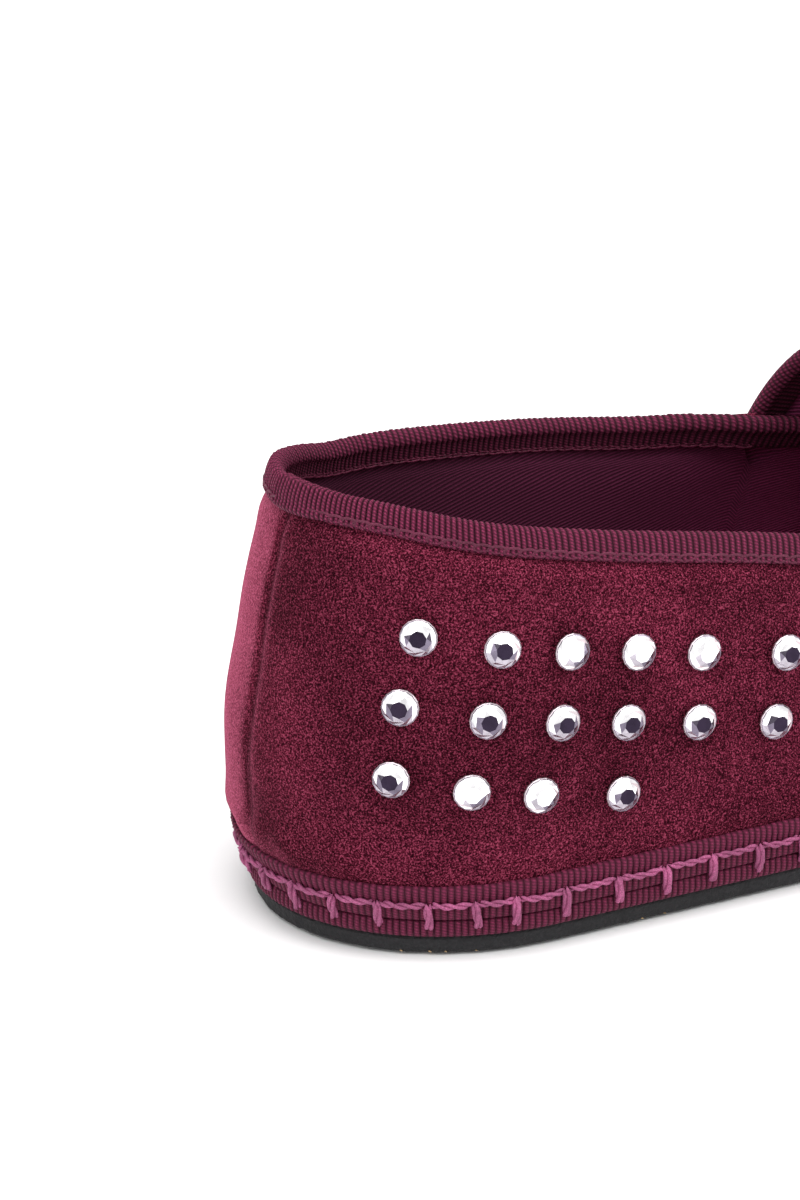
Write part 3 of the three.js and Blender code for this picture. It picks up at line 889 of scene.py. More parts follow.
HEEL_STEPS = 76
REAR_STATIONS = [HEEL_CENTRE_X + (SEAM_X - HEEL_CENTRE_X) * step / 48 for step in range(49)]
VAMP_STATIONS = [VAMP_EDGE_X + (TOE_CENTRE_X - VAMP_EDGE_X) * step / 70 for step in range(71)]
VAMP_STRIDE = VAMP_STATIONS[1] - VAMP_STATIONS[0]
TOE_STEPS = 34
WALL_ROWS = 52
ROOF_ROWS = 30
WALL_V = 52
ROOF_V = 30
UPPER_RING = closed_ring(HEEL_STEPS, REAR_STATIONS + VAMP_STATIONS, TOE_STEPS)
UPPER_TRAVEL = ring_distances(UPPER_RING)
FIRST_VAMP = HEEL_STEPS + len(REAR_STATIONS)
LAST_VAMP = len(UPPER_RING) - FIRST_VAMP
THROAT_RIB = UPPER_RING[FIRST_VAMP]
CORNER_SHARE = share_at(THROAT_RIB, wall_edge)


def is_vamp(index):
    """Whether a column of the upper belongs to the vamp."""
    return FIRST_VAMP <= index <= LAST_VAMP


def roof_share(fullness, climb):
    """Share of the crown at an even climb from the throat corner to the ridge."""
    corner_angle = math.asin(CORNER_SHARE ** (fullness / 2))
    angle = corner_angle + (math.pi / 2 - corner_angle) * climb
    return min(1.0, math.sin(angle) ** (2 / fullness))


def upper_point(index, share, drop, stitch_pitch):
    """Point of the outer face of the upper."""
    rib = UPPER_RING[index]
    plain = form(rib, share, 0)
    height = plain.z - lift(plain.x)
    step = VAMP_STEP if is_vamp(index) else 0.0
    fade = 1 - share ** 6
    inset = 0.0 if is_vamp(index) else bound_inset(UPPER_TRAVEL[index])
    offset = step + fade * cloth_relief(UPPER_TRAVEL[index], height, drop, stitch_pitch, inset)
    return form(rib, share, offset)


def top_share(index):
    """Share of the crown at which a column of the wall ends."""
    if is_vamp(index):
        return CORNER_SHARE
    rise = bound_rise(UPPER_TRAVEL[index])
    return share_at(UPPER_RING[index], lambda x: wall_edge(x) + rise)


def thickness_share(full, drop):
    """Share of the greatest wall thickness, thinned towards a bound edge."""
    thin = at_edge(drop - THIN_BELOW)
    return (full * (1 - thin) + EDGE_WALL * thin) / (WALL + VAMP_STEP)


def wall_sheet(sizes):
    """Wall of the quarters and the vamp, all round the shoe."""
    count = len(UPPER_RING)
    edges = [top_share(index) for index in range(count)]

    def edge_drop(index, up):
        top = form(UPPER_RING[index], edges[index], 0).z
        drop = top - form(UPPER_RING[index], edges[index] * up / WALL_ROWS, 0).z
        if is_vamp(index):
            return math.hypot(drop, min(index - FIRST_VAMP, LAST_VAMP - index) * VAMP_STRIDE)
        return drop

    def place(across, up):
        index = across % count
        share = edges[index] * up / WALL_ROWS
        return upper_point(index, share, edge_drop(index, up), in_mm(sizes.stitch_pitch))

    def weight_of(across, up):
        index = across % count
        full = WALL + VAMP_STEP if is_vamp(index) else WALL
        return thickness_share(full, edge_drop(index, up))

    def uv_of(across, up):
        return (UPPER_TRAVEL[across], up / WALL_ROWS * WALL_V)

    return shaped_grid("wall", count, WALL_ROWS, place, uv_of, weight_of)


def roof_sheet(sizes):
    """The vamp above the level of its corners, closed over the ridge."""
    count = LAST_VAMP - FIRST_VAMP

    def behind_edge(across):
        return min(across, count - across) * VAMP_STRIDE

    def weight_of(across, up):
        return thickness_share(WALL + VAMP_STEP, behind_edge(across))

    def place(across, up):
        index = FIRST_VAMP + across
        fullness = column(SECTIONS, "fullness", UPPER_RING[index].station)
        share = CORNER_SHARE if up == 0 else roof_share(fullness, up / ROOF_ROWS)
        return upper_point(index, share, behind_edge(across), in_mm(sizes.stitch_pitch))

    def uv_of(across, up):
        return (UPPER_TRAVEL[FIRST_VAMP + across], WALL_V + up / ROOF_ROWS * ROOF_V)

    return shaped_grid("roof", count, ROOF_ROWS, place, uv_of, weight_of)


def make_upper(sizes, colours):
    """Velvet quarters and vamp with the twill lining on their inner face."""
    velvet = shared_material("burgundy_velvet", velvet_material, colours)
    lining = shared_material("twill_lining", lining_material, colours)
    upper = join([wall_sheet(sizes), roof_sheet(sizes)], "velvet_upper")
    tidy_mesh(upper)
    face_outwards(upper)
    upper.data.materials.append(velvet)
    upper.data.materials.append(lining)
    apply_modifier(
        upper, "SOLIDIFY", thickness=(WALL + VAMP_STEP) * MM, offset=-1, use_even_offset=True,
        vertex_group="wall", material_offset=1, material_offset_rim=0,
    )
    smooth(upper, 60)
    return finish_piece(upper, ("upper",))


# Ribbons.

# The folded binding across its width: how far out it stands, and how far past the cut edge it reaches.
Fold = collections.namedtuple("Fold", "out past ribbed")
FOLD_MIDDLE = -0.83
FOLD = (
    Fold(-0.5, -3.1, 0), Fold(0.1, -3.34, 0.4), Fold(0.34, -3.1, 1), Fold(0.38, -2.6, 1),
    Fold(0.3, -2.2, 1), Fold(0.4, -1.8, 1), Fold(0.44, -1, 1), Fold(0.4, -0.2, 1),
    Fold(0.28, 0.4, 1), Fold(0, 0.88, 1), Fold(-0.4, 1.15, 1), Fold(-0.83, 1.24, 1),
    Fold(-1.26, 1.15, 1), Fold(-1.66, 0.88, 1), Fold(-1.94, 0.5, 1), Fold(-1.98, 0.2, 1),
    Fold(-1.84, -0.15, 1), Fold(-1.75, -0.5, 0.7), Fold(-1.75, -1.4, 0.7), Fold(-1.75, -2.3, 0.7),
    Fold(-1.75, -2.9, 0.7), Fold(-1.62, -3.15, 0.3), Fold(-1.2, -3, 0),
)
STEPS_PER_RIB = 6
RIB_DEPTH = 0.14
RIB_UNEVEN = 0.3
RIB_ROUND = 0.6
FLAT_RIB = 0.7
FACE_REACH = 0.9
LAP_START, LAP_END = -3, 12
LAP_STEP, LAP_FADE, LAP_PROUD = 0.4, 10, 0.4
TUCKED_END = 20
TUCK_DEPTH, TUCK_FROM, TUCK_RUN = 1.6, 12, 11.5
THROAT_GIRTH = 84.0
THROAT_BACK = 0.5
THROAT_BELOW = 0.05
CURVE_SAMPLES = 2000
# Flat ribbons keep their V below zero, folded ones above it.
FLAT_RIBBON_V = -40


def fold_lengths():
    """Distance across the ribbon at each row of the fold."""
    lengths = [0.0]
    for here, after in zip(FOLD, FOLD[1:]):
        lengths.append(lengths[-1] + math.hypot(after.out - here.out, after.past - here.past))
    return lengths


FOLD_LENGTHS = fold_lengths()


def rib_wave(turns):
    """Rounded ribs with narrow grooves, one for each turn, some of them fuller."""
    fuller = 1 + RIB_UNEVEN * math.sin(2.39 * math.floor(turns + 0.5))
    return RIB_DEPTH * fuller * (abs(math.cos(math.pi * turns)) ** RIB_ROUND * 2 - 1)


def fold_side(fold):
    """Which face of the folded ribbon a row lies on: out 1, in -1, over the edge 0."""
    reach = fold.out - FOLD_MIDDLE
    return math.copysign(1, reach) if abs(reach) > FACE_REACH else 0


def ribbon_cell(across, count, fold):
    """Column inside the ribbon, and the row's fold drawn together at the ends."""
    inner = min(max(across - 1, 0), count - 2)
    if across in (0, count):
        fold = Fold(FOLD_MIDDLE, -0.5, 0)
    return inner / (count - 2), fold


def tuck(x):
    """How far the collar ribbon slips inside the vamp at x."""
    t = clamp((x - SEAM_X + TUCK_FROM) / TUCK_RUN)
    return TUCK_DEPTH * t * t * (3 - 2 * t)


def make_collar_binding(sizes, colours):
    """Ribbon folded over the edge of the quarters, lapped at the heel, its ends inside the vamp."""
    reach = SEAM_X + TUCKED_END
    start = -(GIRTH - distance_of("medial", reach))
    end = distance_of("lateral", reach)
    ribs = round((end - start) / in_mm(sizes.rib_pitch))
    count = ribs * STEPS_PER_RIB

    def place(across, up):
        t, fold = ribbon_cell(across, count, FOLD[up])
        distance = start + (end - start) * t
        rib = rib_at(distance)
        lapped = clamp((distance - LAP_START) / LAP_STEP) * clamp((LAP_END - distance) / LAP_FADE)
        proud = LAP_PROUD * lapped * fold.ribbed
        wave = rib_wave(ribs * t) * fold.ribbed
        rise = (wave + proud) if fold.past > 0.2 else 0
        edge = bound_rise(distance) + fold.past + rise
        share = share_at(rib, lambda x: wall_edge(x) + edge)
        drawn_in = bound_inset(distance) + tuck(rib.station)
        return form(rib, share, fold.out - drawn_in + fold_side(fold) * (wave + proud))

    obj = shaped_grid(
        "collar_ribbon", count, len(FOLD) - 1, place,
        lambda across, up: (ribs * across / count, FOLD_LENGTHS[up]),
    )
    tidy_mesh(obj)
    smooth(obj, 70)
    ribbon = shared_material("ribbed_ribbon", ribbon_material, colours)
    return finish_piece(obj, ("collar_binding",), (ribbon,))


def evenly_spaced(point_at, samples, count):
    """Parameters from 0 to 1 that step a curve at even distances."""
    points = [point_at(step / samples) for step in range(samples + 1)]
    travel = [0.0]
    for here, after in zip(points, points[1:]):
        travel.append(travel[-1] + (after - here).length)
    places = []
    for step in range(count + 1):
        target = travel[-1] * step / count
        index = min(max(bisect.bisect_left(travel, target), 1), samples)
        run = max(travel[index] - travel[index - 1], 1e-9)
        places.append((index - 1 + (target - travel[index - 1]) / run) / samples)
    return places


def make_throat_binding(sizes, colours):
    """Ribbon folded over the rear edge of the vamp, from corner to corner."""
    edge_ribs = {
        "lateral": rib_at(distance_of("lateral", VAMP_EDGE_X)),
        "medial": rib_at(distance_of("medial", VAMP_EDGE_X)),
    }
    fullness = column(SECTIONS, "fullness", VAMP_EDGE_X)
    ribs = round(THROAT_GIRTH / in_mm(sizes.rib_pitch))
    count = ribs * STEPS_PER_RIB

    def on_throat(t, past, out):
        side = "lateral" if t < 0.5 else "medial"
        climb = 1 - abs(2 * t - 1)
        share = roof_share(fullness, (1 + THROAT_BELOW) * climb - THROAT_BELOW)
        facing = (edge_ribs[side].out_x, edge_ribs[side].out_y)
        return form(station_rib(side, VAMP_EDGE_X - THROAT_BACK - past, facing), share, out + VAMP_STEP)

    even = evenly_spaced(lambda t: on_throat(t, 0, 0), CURVE_SAMPLES, count - 2)

    def place(across, up):
        t, fold = ribbon_cell(across, count, FOLD[up])
        wave = rib_wave(ribs * t) * fold.ribbed
        return on_throat(even[round(t * (count - 2))], fold.past, fold.out + fold_side(fold) * wave)

    obj = shaped_grid(
        "throat_ribbon", count, len(FOLD) - 1, place,
        lambda across, up: (ribs * across / count, FOLD_LENGTHS[up]),
    )
    tidy_mesh(obj)
    smooth(obj, 70)
    ribbon = shared_material("ribbed_ribbon", ribbon_material, colours)
    return finish_piece(obj, ("throat_binding",), (ribbon,))


Band = collections.namedtuple("Band", "out height ribbed")
HEM_BAND = (
    Band(-0.1, HEM_TOP + 0.1, 0), Band(0.5, HEM_TOP + 0.15, 0.6), Band(0.82, HEM_TOP - 0.25, 1),
    Band(0.92, HEM_TOP - 1.2, 1), Band(0.95, HEM_TOP - 2.4, 1), Band(0.95, HEM_TOP - 3.6, 1),
    Band(0.92, HEM_BOTTOM + 0.1, 1), Band(0.8, HEM_BOTTOM - 0.1, 0.3), Band(-0.1, HEM_BOTTOM - 0.1, 0),
)


def vamp_step_at(distance):
    """How far the vamp stands out from the quarters at a distance along the outline."""
    past_seam = min((distance - LATERAL_SEAM) % GIRTH, (MEDIAL_SEAM - distance) % GIRTH)
    ahead = LATERAL_SEAM < distance % GIRTH < MEDIAL_SEAM
    return VAMP_STEP * min(1.0, past_seam / STEP_RUN) if ahead else 0.0


def make_hem_ribbon(sizes, colours):
    """Ribbon round the lower edge of the upper."""
    ribs = round(GIRTH / in_mm(sizes.rib_pitch))
    count = ribs * STEPS_PER_RIB
    steps = [vamp_step_at(GIRTH * across / count) for across in range(count + 1)]

    def place(across, up):
        distance = GIRTH * (across % count) / count
        rib = rib_at(distance)
        band = HEM_BAND[up]
        wave = FLAT_RIB * rib_wave(distance / GIRTH * ribs) * band.ribbed
        dent = stands_out(STITCH_DENT, band.height) * band.ribbed
        offset = band.out + wave - dent + steps[across] + heel_out(distance, band.height)
        share = share_at(rib, lambda x: band.height + lift(x), offset)
        return form(rib, share, offset)

    obj = shaped_grid(
        "hem_ribbon_band", count, len(HEM_BAND) - 1, place,
        lambda across, up: (ribs * across / count, HEM_BAND[up].height + FLAT_RIBBON_V),
    )
    tidy_mesh(obj)
    face_outwards(obj)
    smooth(obj, 70)
    ribbon = shared_material("ribbed_ribbon", ribbon_material, colours)
    return finish_piece(obj, ("hem_ribbon",), (ribbon,))


def layer_grid(name, count, bands, wave_of, turns):
    """A layer of the sole: from the middle line out over its edge and back to the middle."""
    def place(across, up):
        distance = GIRTH * (across % count) / count
        rib = rib_at(distance)
        band = bands[up]
        if band.out is None:
            x, y = rib.station, rib.ridge_y
        else:
            out = band.out + wave_of(distance) * band.ribbed + heel_out(distance, band.height)
            x = rib.base_x + rib.out_x * out
            y = rib.base_y + rib.out_y * out
        return Vector((x, y, band.height + lift(x)))

    obj = shaped_grid(
        name, count, len(bands) - 1, place,
        lambda across, up: (turns * across / count, bands[up].height + FLAT_RIBBON_V),
    )
    tidy_mesh(obj)
    smooth(obj, 50)
    return obj


def make_midsole(sizes, colours):
    """Cloth midsole wrapped in ribbon."""
    ribs = round(GIRTH / in_mm(sizes.rib_pitch))
    bands = (
        Band(None, MIDSOLE_TOP, 0), Band(-6, MIDSOLE_TOP, 0), Band(0.8, MIDSOLE_TOP + 0.1, 0.2),
        Band(1.05, MIDSOLE_TOP - 0.08, 1), Band(1.15, 4.7, 1), Band(1.1, 3.9, 1), Band(0.85, 3.3, 1),
        Band(0.45, MIDSOLE_BOTTOM, 0.2), Band(-6, MIDSOLE_BOTTOM, 0), Band(None, MIDSOLE_BOTTOM, 0),
    )

    def wave_of(distance):
        return FLAT_RIB * rib_wave(distance / GIRTH * ribs)

    obj = layer_grid("midsole_wrap", ribs * STEPS_PER_RIB, bands, wave_of, ribs)
    ribbon = shared_material("ribbed_ribbon", ribbon_material, colours)
    return finish_piece(obj, ("midsole",), (ribbon,))


def make_insole(sizes, colours):
    """Twill sock on the floor of the shoe."""
    top = UPPER_BOTTOM + INSOLE_THICKNESS
    bands = (
        Band(None, top, 0), Band(-12, top, 0), Band(-3.6, top, 0), Band(-2.9, top - 0.3, 0),
        Band(-2.7, top - 0.9, 0), Band(-2.7, UPPER_BOTTOM + 0.2, 0), Band(-3.2, UPPER_BOTTOM, 0),
        Band(None, UPPER_BOTTOM, 0),
    )
    obj = layer_grid("insole_sock", INSOLE_STEPS, bands, lambda distance: 0, GIRTH)
    lining = shared_material("twill_lining", lining_material, colours)
    return finish_piece(obj, ("insole",), (lining,))


# Sole.

ROW_PITCH = 12.6
ROW_COUNT = 7
ROW_WIDTH = 9.4
LONG_BLOCK = 28
SHORT_BLOCK = 13
GROOVE = 4.5
BORDER = 4.5
BLOCK_CUTS = 5
BLOCK_ROOT = 0.6
SIDE_WAVE, END_WAVE = 0.48, 1.1
LONG_SWAY, SHORT_SWAY = 2.1, 0.5
SHORT_SLIT = 0.8
SLIT_STEPS = 16
SLIT_REACH = 0.6
SLIT_TURNS = 1.2
SLIT_HALF, SLIT_END_HALF = 0.75, 0.12
SLIT_LOW, SLIT_HIGH = -0.6, 0.75
SLIT_MARGIN = 6
CORD_MARGIN = 8
SLAB_STEPS = 900
FIELD_STEPS = 300
OUTLINE_SLICE = 0.9
EDGE_ROUGHNESS = 0.09
STRAND_STEPS, STRAND_SIDES = 6, 6
# Distances along the outline at which a cord ends in the rubber's edge.
CORD_ENDS = (22.5, 26.5, 28.6, 32.8, 58, 61.5, 97, 140, 188, -31, -74, -129)
CORD_END_IN, CORD_END_HEIGHT = 0.9, 0.45
CORD_END_LENGTH, CORD_END_RADIUS = 2.0, 0.24
CORD_SUNK = 0.03
CORD_SWAY = 0.25


def tread_blocks():
    """Middle and length of each tread block."""
    blocks = []
    period = LONG_BLOCK + SHORT_BLOCK + 2 * GROOVE
    for row in range(ROW_COUNT):
        y = (row - (ROW_COUNT - 1) / 2) * ROW_PITCH
        start = -(row % 2) * period / 2
        while start < TIP_X:
            blocks.append((start + LONG_BLOCK / 2, y, LONG_BLOCK))
            blocks.append((start + LONG_BLOCK + GROOVE + SHORT_BLOCK / 2, y, SHORT_BLOCK))
            start += period
    return blocks


def inside_outline(x, y, margin):
    """Whether a point of the plan lies inside the rubber edge by a margin."""
    if not margin < x < TIP_X - margin:
        return False
    crossings = [rib for rib in FINE_RING if abs(rib.base_x - x) < OUTLINE_SLICE]
    low = min(rib.base_y for rib in crossings)
    high = max(rib.base_y for rib in crossings)
    return low + margin < y < high - margin


def block_solid(x, y, length):
    """One tread block with softened edges and wavy ends."""
    deselect()
    bpy.ops.mesh.primitive_cube_add(size=1, location=(0, 0, 0))
    obj = bpy.context.active_object
    bpy.ops.object.mode_set(mode="EDIT")
    bpy.ops.mesh.select_all(action="SELECT")
    bpy.ops.mesh.subdivide(number_cuts=BLOCK_CUTS)
    bpy.ops.object.mode_set(mode="OBJECT")
    height = LUG_DEPTH + BLOCK_ROOT
    for vertex in obj.data.vertices:
        u, v, w = vertex.co
        wander = SIDE_WAVE * math.sin(2 * math.pi * u + y) * (1 if abs(v) > 0.4 else 0)
        notch = END_WAVE * math.cos(math.pi * v * 2) * (1 if abs(u) > 0.45 else 0) * math.copysign(1, u)
        px = x + u * length - notch
        py = y + v * ROW_WIDTH + wander * math.copysign(1, v)
        vertex.co = to_frame(Vector((px, py, (w + 0.5) * height + lift(px))))
    return obj


def slit_solid(x, y, length):
    """The wavy slit that is cut into a block."""
    reach = length * SLIT_REACH
    sway = LONG_SWAY if length == LONG_BLOCK else SHORT_SWAY

    def place(across, up):
        t = across / SLIT_STEPS - 0.5
        middle = sway * math.sin(2 * math.pi * SLIT_TURNS * t)
        half = SLIT_HALF * math.cos(math.pi * t * 0.9) + SLIT_END_HALF
        low, high = SLIT_LOW, SLIT_HIGH
        corners = ((-half, low), (half, low), (half, high), (-half, high), (-half, low))
        side, rise = corners[up]
        px = x + t * reach
        return Vector((px, y + middle + side, rise + lift(px)))

    obj = shaped_grid("slit", SLIT_STEPS, 4, place)
    tidy_mesh(obj)
    fill_openings(obj)
    return obj


def rubber_slab():
    """The buffed slab with its rough edge."""
    rng = random.Random(11)
    bands = (
        Band(None, LUG_DEPTH, 0), Band(-BORDER - 3, LUG_DEPTH, 0), Band(-BORDER, LUG_DEPTH - 0.1, 0),
        Band(-3, 0.35, 0.4), Band(-1.2, 0.3, 0.6), Band(-0.25, 0.35, 1),
        Band(0, 0.8, 1), Band(0.02, RUBBER_TOP - 0.35, 1), Band(-0.2, RUBBER_TOP - 0.03, 1),
        Band(-3, RUBBER_TOP, 0), Band(None, RUBBER_TOP, 0),
    )
    rough = [rng.uniform(-EDGE_ROUGHNESS, EDGE_ROUGHNESS) for _ in range(SLAB_STEPS)]

    def buffed(distance):
        return rough[int(distance / GIRTH * SLAB_STEPS) % SLAB_STEPS]

    return layer_grid("rubber_slab", SLAB_STEPS, bands, buffed, GIRTH)


def tread_solids():
    """The blocks that reach into the tread field, and the slits of those whose middle lies well inside."""
    blocks = []
    slits = []
    for x, y, length in tread_blocks():
        corners = [(x + sx * length / 2, y + sy * ROW_WIDTH / 2) for sx in (-1, 1) for sy in (-1, 1)]
        if not any(inside_outline(*corner, BORDER) for corner in corners):
            continue
        blocks.append(block_solid(x, y, length))
        if inside_outline(x, y, SLIT_MARGIN):
            slits.append(slit_solid(x, y, length if length == LONG_BLOCK else length * SHORT_SLIT))
    return join(blocks, "lugs"), join(slits, "slits")


def tread_field():
    """Prism of the outline inside the plain border."""
    top = RUBBER_TOP - 0.5
    bands = (Band(None, -1, 0), Band(-BORDER, -1, 0), Band(-BORDER, top, 0), Band(None, top, 0))
    return layer_grid("tread_field", FIELD_STEPS, bands, lambda distance: 0, GIRTH)


def make_outsole(sizes, colours):
    """Rubber sole: a buffed slab, and tread blocks with slits trimmed to the tread field."""
    slab = rubber_slab()
    lugs, slits = tread_solids()
    field = tread_field()
    apply_modifier(lugs, "BOOLEAN", operation="INTERSECT", object=field, solver="EXACT")
    apply_modifier(lugs, "BOOLEAN", operation="DIFFERENCE", object=slits, solver="EXACT")
    for tool in (field, slits):
        bpy.data.objects.remove(tool)
    sole = join([slab, lugs], "rubber_outsole")
    smooth(sole, 35)
    rubber = shared_material("tread_rubber", rubber_material, colours)
    return finish_piece(sole, ("outsole",), (rubber,))


def groove_cords(rng):
    """Cords along the sole between the rows of blocks: middle, length, turn and radius."""
    cords = []
    for row in range(ROW_COUNT - 1):
        y = (row - (ROW_COUNT - 2) / 2) * ROW_PITCH
        x = 8.0
        while x < TIP_X - 10:
            length = rng.uniform(4, 15)
            at = (x + length / 2, y + rng.uniform(-1, 1))
            if rng.random() < 0.75 and inside_outline(*at, CORD_MARGIN):
                cords.append((at, length, rng.uniform(-0.06, 0.06), rng.uniform(0.18, 0.42)))
            x += length + rng.uniform(1, 6)
    return cords


def cross_cords(rng):
    """Cords across the sole between the blocks of a row: middle, length, turn and radius."""
    cords = []
    for x, y, length in tread_blocks():
        for end in (-1, 1):
            at = (x + end * (length + GROOVE) / 2 + rng.uniform(-0.8, 0.8), y + rng.uniform(-3, 3))
            if rng.random() < 0.7 and inside_outline(*at, CORD_MARGIN):
                run = rng.uniform(3, 9)
                turn = math.pi / 2 + rng.uniform(-0.1, 0.1)
                cords.append((at, run, turn, rng.uniform(0.18, 0.4)))
    return cords


def strand(middle, length, turn, radius):
    """A short tapered cord lying along the sole."""
    along = Vector((math.cos(turn), math.sin(turn), 0))
    side = Vector((-along.y, along.x, 0))

    def place(across, up):
        t = across / STRAND_STEPS - 0.5
        girth = radius * max(0.05, 1 - (2 * abs(t)) ** 3)
        angle = 2 * math.pi * (up % STRAND_SIDES) / STRAND_SIDES
        sideways = girth * math.cos(angle) + CORD_SWAY * math.sin(7 * t + turn)
        point = middle + along * (t * length) + side * sideways
        point.z += girth * 0.6 * math.sin(angle) + lift(point.x)
        return point

    return shaped_grid("strand", STRAND_STEPS, STRAND_SIDES, place)


def make_sole_cords(sizes, colours):
    """Beige cords of the tread stock, in the grooves under the sole and cut off in its edge."""
    rng = random.Random(5)
    pieces = []
    for (x, y), length, turn, radius in groove_cords(rng) + cross_cords(rng):
        pieces.append(strand(Vector((x, y, LUG_DEPTH + CORD_SUNK)), length, turn, radius))
    for distance in CORD_ENDS:
        rib = rib_at(distance)
        x = rib.base_x - rib.out_x * CORD_END_IN
        y = rib.base_y - rib.out_y * CORD_END_IN
        turn = math.atan2(rib.out_y, rib.out_x)
        pieces.append(strand(Vector((x, y, CORD_END_HEIGHT)), CORD_END_LENGTH, turn, CORD_END_RADIUS))
    cords = join(pieces, "sole_cords")
    smooth(cords, 60)
    cord = shared_material("beige_cord", cord_material, colours)
    return finish_piece(cords, (), (cord,))


# Stones.

# Row name, height of its first stone, distances of its stones, and which of them show a painted white
# flash.
StoneRow = collections.namedtuple("StoneRow", "name height distances flashing")
STONE_ROWS = (
    StoneRow("upper", 47.2, (25.4, 36.8, 47, 57, 67, 80.1), (2, 3, 4)),
    StoneRow("middle", 37.6, (23.1, 34.5, 45, 55, 66, 78.1), ()),
    StoneRow("lower", 27.4, (22, 32.2, 41.5, 54), (1, 2)),
)
STONE_FALL = 0.195
STONE_RADIUS = 2.6
STONE_SEAT = 0.5


def stone_frame(distance, height):
    """Seat of a stone: its place and its axes, with the last one looking out of the shoe."""
    rib = rib_at(distance)
    share = share_at(rib, lambda x: height)
    here = form(rib, share, 0)
    up = (form(rib, share + 0.02, 0) - here).normalized()
    along = Vector((-rib.out_y, rib.out_x, 0))
    out = along.cross(up).normalized()
    if out.x * rib.out_x + out.y * rib.out_y < 0:
        out.negate()
    side = up.cross(out).normalized()
    return here + out * STONE_SEAT, side, out.cross(side).normalized(), out


# Rings of a stone from its back to its table: radius, height and turn in facet steps.
Facet = collections.namedtuple("Facet", "radius height turn")
STONE_RINGS = (
    Facet(0.9, 0, 0), Facet(1, 0.12, 0), Facet(1, 0.38, 0), Facet(0.96, 0.52, 0), Facet(0.92, 0.56, 0),
    Facet(0.74, 1.08, 0.5), Facet(0.46, 1.5, 0),
)
STONE_SIDES = 16
CROWN_SIDES = 8
RIM_RINGS = 4
# Tones of a stone's faces: the rim, and painted reflections on the table and crown facets; the bright and
# pale ones also glow though they are no lamp.
Tone = collections.namedtuple("Tone", "name colour roughness glow")
STONE_TONES = (
    Tone("stone_bright", (0.98, 0.96, 0.98), 0.08, 0.6),
    Tone("stone_rim", (0.62, 0.54, 0.58), 0.25, 0.0),
    Tone("stone_table", (0.030, 0.020, 0.040), 0.08, 0.0),
    Tone("stone_grey", (0.20, 0.17, 0.23), 0.1, 0.0),
    Tone("stone_pale", (0.50, 0.46, 0.52), 0.1, 0.05),
)
BRIGHT, RIM, TABLE, GREY, PALE = range(len(STONE_TONES))
# Degrees round a stone from the side of its painted highlight.
BRIGHT_SIDE = 14
BRIGHT_ARC = 64
OUTER_PALE_ARC = 110
FLASH_PALE_ARC = 120
GREY_ARC = 142


def facet_reflection(middle, seat, side, up, flashing, inner):
    """Which painted reflection a crown facet shows: a painted highlight above, grey at the sides, pale
    below.
    """
    reach = middle - to_frame(seat)
    turn = math.degrees(math.atan2(reach.dot(side), reach.dot(up))) - BRIGHT_SIDE
    if abs(turn) < BRIGHT_ARC:
        return BRIGHT
    if flashing and turn < 0:
        return PALE if inner and turn < -FLASH_PALE_ARC else BRIGHT
    if flashing:
        return GREY if inner else PALE
    if inner:
        return GREY if abs(turn) < GREY_ARC else PALE
    return PALE if abs(turn) > OUTER_PALE_ARC else BRIGHT


def paint_stone_reflections(stone, seat, side, up, flashing):
    """Give each face of a stone its tone, by its ring and by its place on the ring: the rim, or a painted
    reflection on the table and crown facets.
    """
    last = len(STONE_RINGS) - 1
    for polygon in stone.data.polygons:
        level = min(polygon.vertices) // (STONE_SIDES + 1)
        if level == last:
            tone = BRIGHT if flashing else TABLE
        elif level < RIM_RINGS:
            tone = GREY if level == RIM_RINGS - 1 else RIM
        else:
            tone = facet_reflection(polygon.center, seat, side, up, flashing, level == last - 1)
        polygon.material_index = tone


def make_stone(name, distance, height, materials, turn, flashing):
    """One round faceted stone with a thin rim and a flat table."""
    seat, side, up, out = stone_frame(distance, height)
    rings = len(STONE_RINGS)

    def place(across, level):
        ring = STONE_RINGS[min(level, rings - 1)]
        sides = CROWN_SIDES if level >= rings - 2 else STONE_SIDES
        step = STONE_SIDES // sides
        index = (across % STONE_SIDES) // step * step + ring.turn * step
        angle = 2 * math.pi * index / STONE_SIDES + turn
        radius = ring.radius * STONE_RADIUS if level < rings else 0
        point = seat + side * (radius * math.cos(angle)) + up * (radius * math.sin(angle))
        return point + out * ring.height

    stone = shaped_grid(name, STONE_SIDES, rings, place)
    for material in materials:
        stone.data.materials.append(material)
    paint_stone_reflections(stone, seat, side, up, flashing)
    tidy_mesh(stone)
    fill_openings(stone)
    bpy.ops.object.shade_flat()
    return stone


def make_stones(sizes, colours):
    """All rhinestones of the outer side, each in its own node's place."""
    materials = [shared_material(tone.name, stone_material, *tone) for tone in STONE_TONES]
    rng = random.Random(3)
    for row in STONE_ROWS:
        for order, distance in enumerate(row.distances):
            height = row.height - STONE_FALL * (distance - row.distances[0])
            label = "%s_%d" % (row.name, order + 1)
            turn = rng.uniform(0, math.pi / 4)
            stone = make_stone("stone_" + label, distance, height, materials, turn, order in row.flashing)
            finish_piece(stone, ("rhinestone_" + label,))


# Stitching.

# Distances of the hand stitches that the photo shows; the rest follow at the pitch.
SEEN_STITCHES = (0.85, 6.9, 13.4, 19.7, 26.4, 32.6, 38.1, 45.2, 53.3, 60.9, 68.3, 75.7)
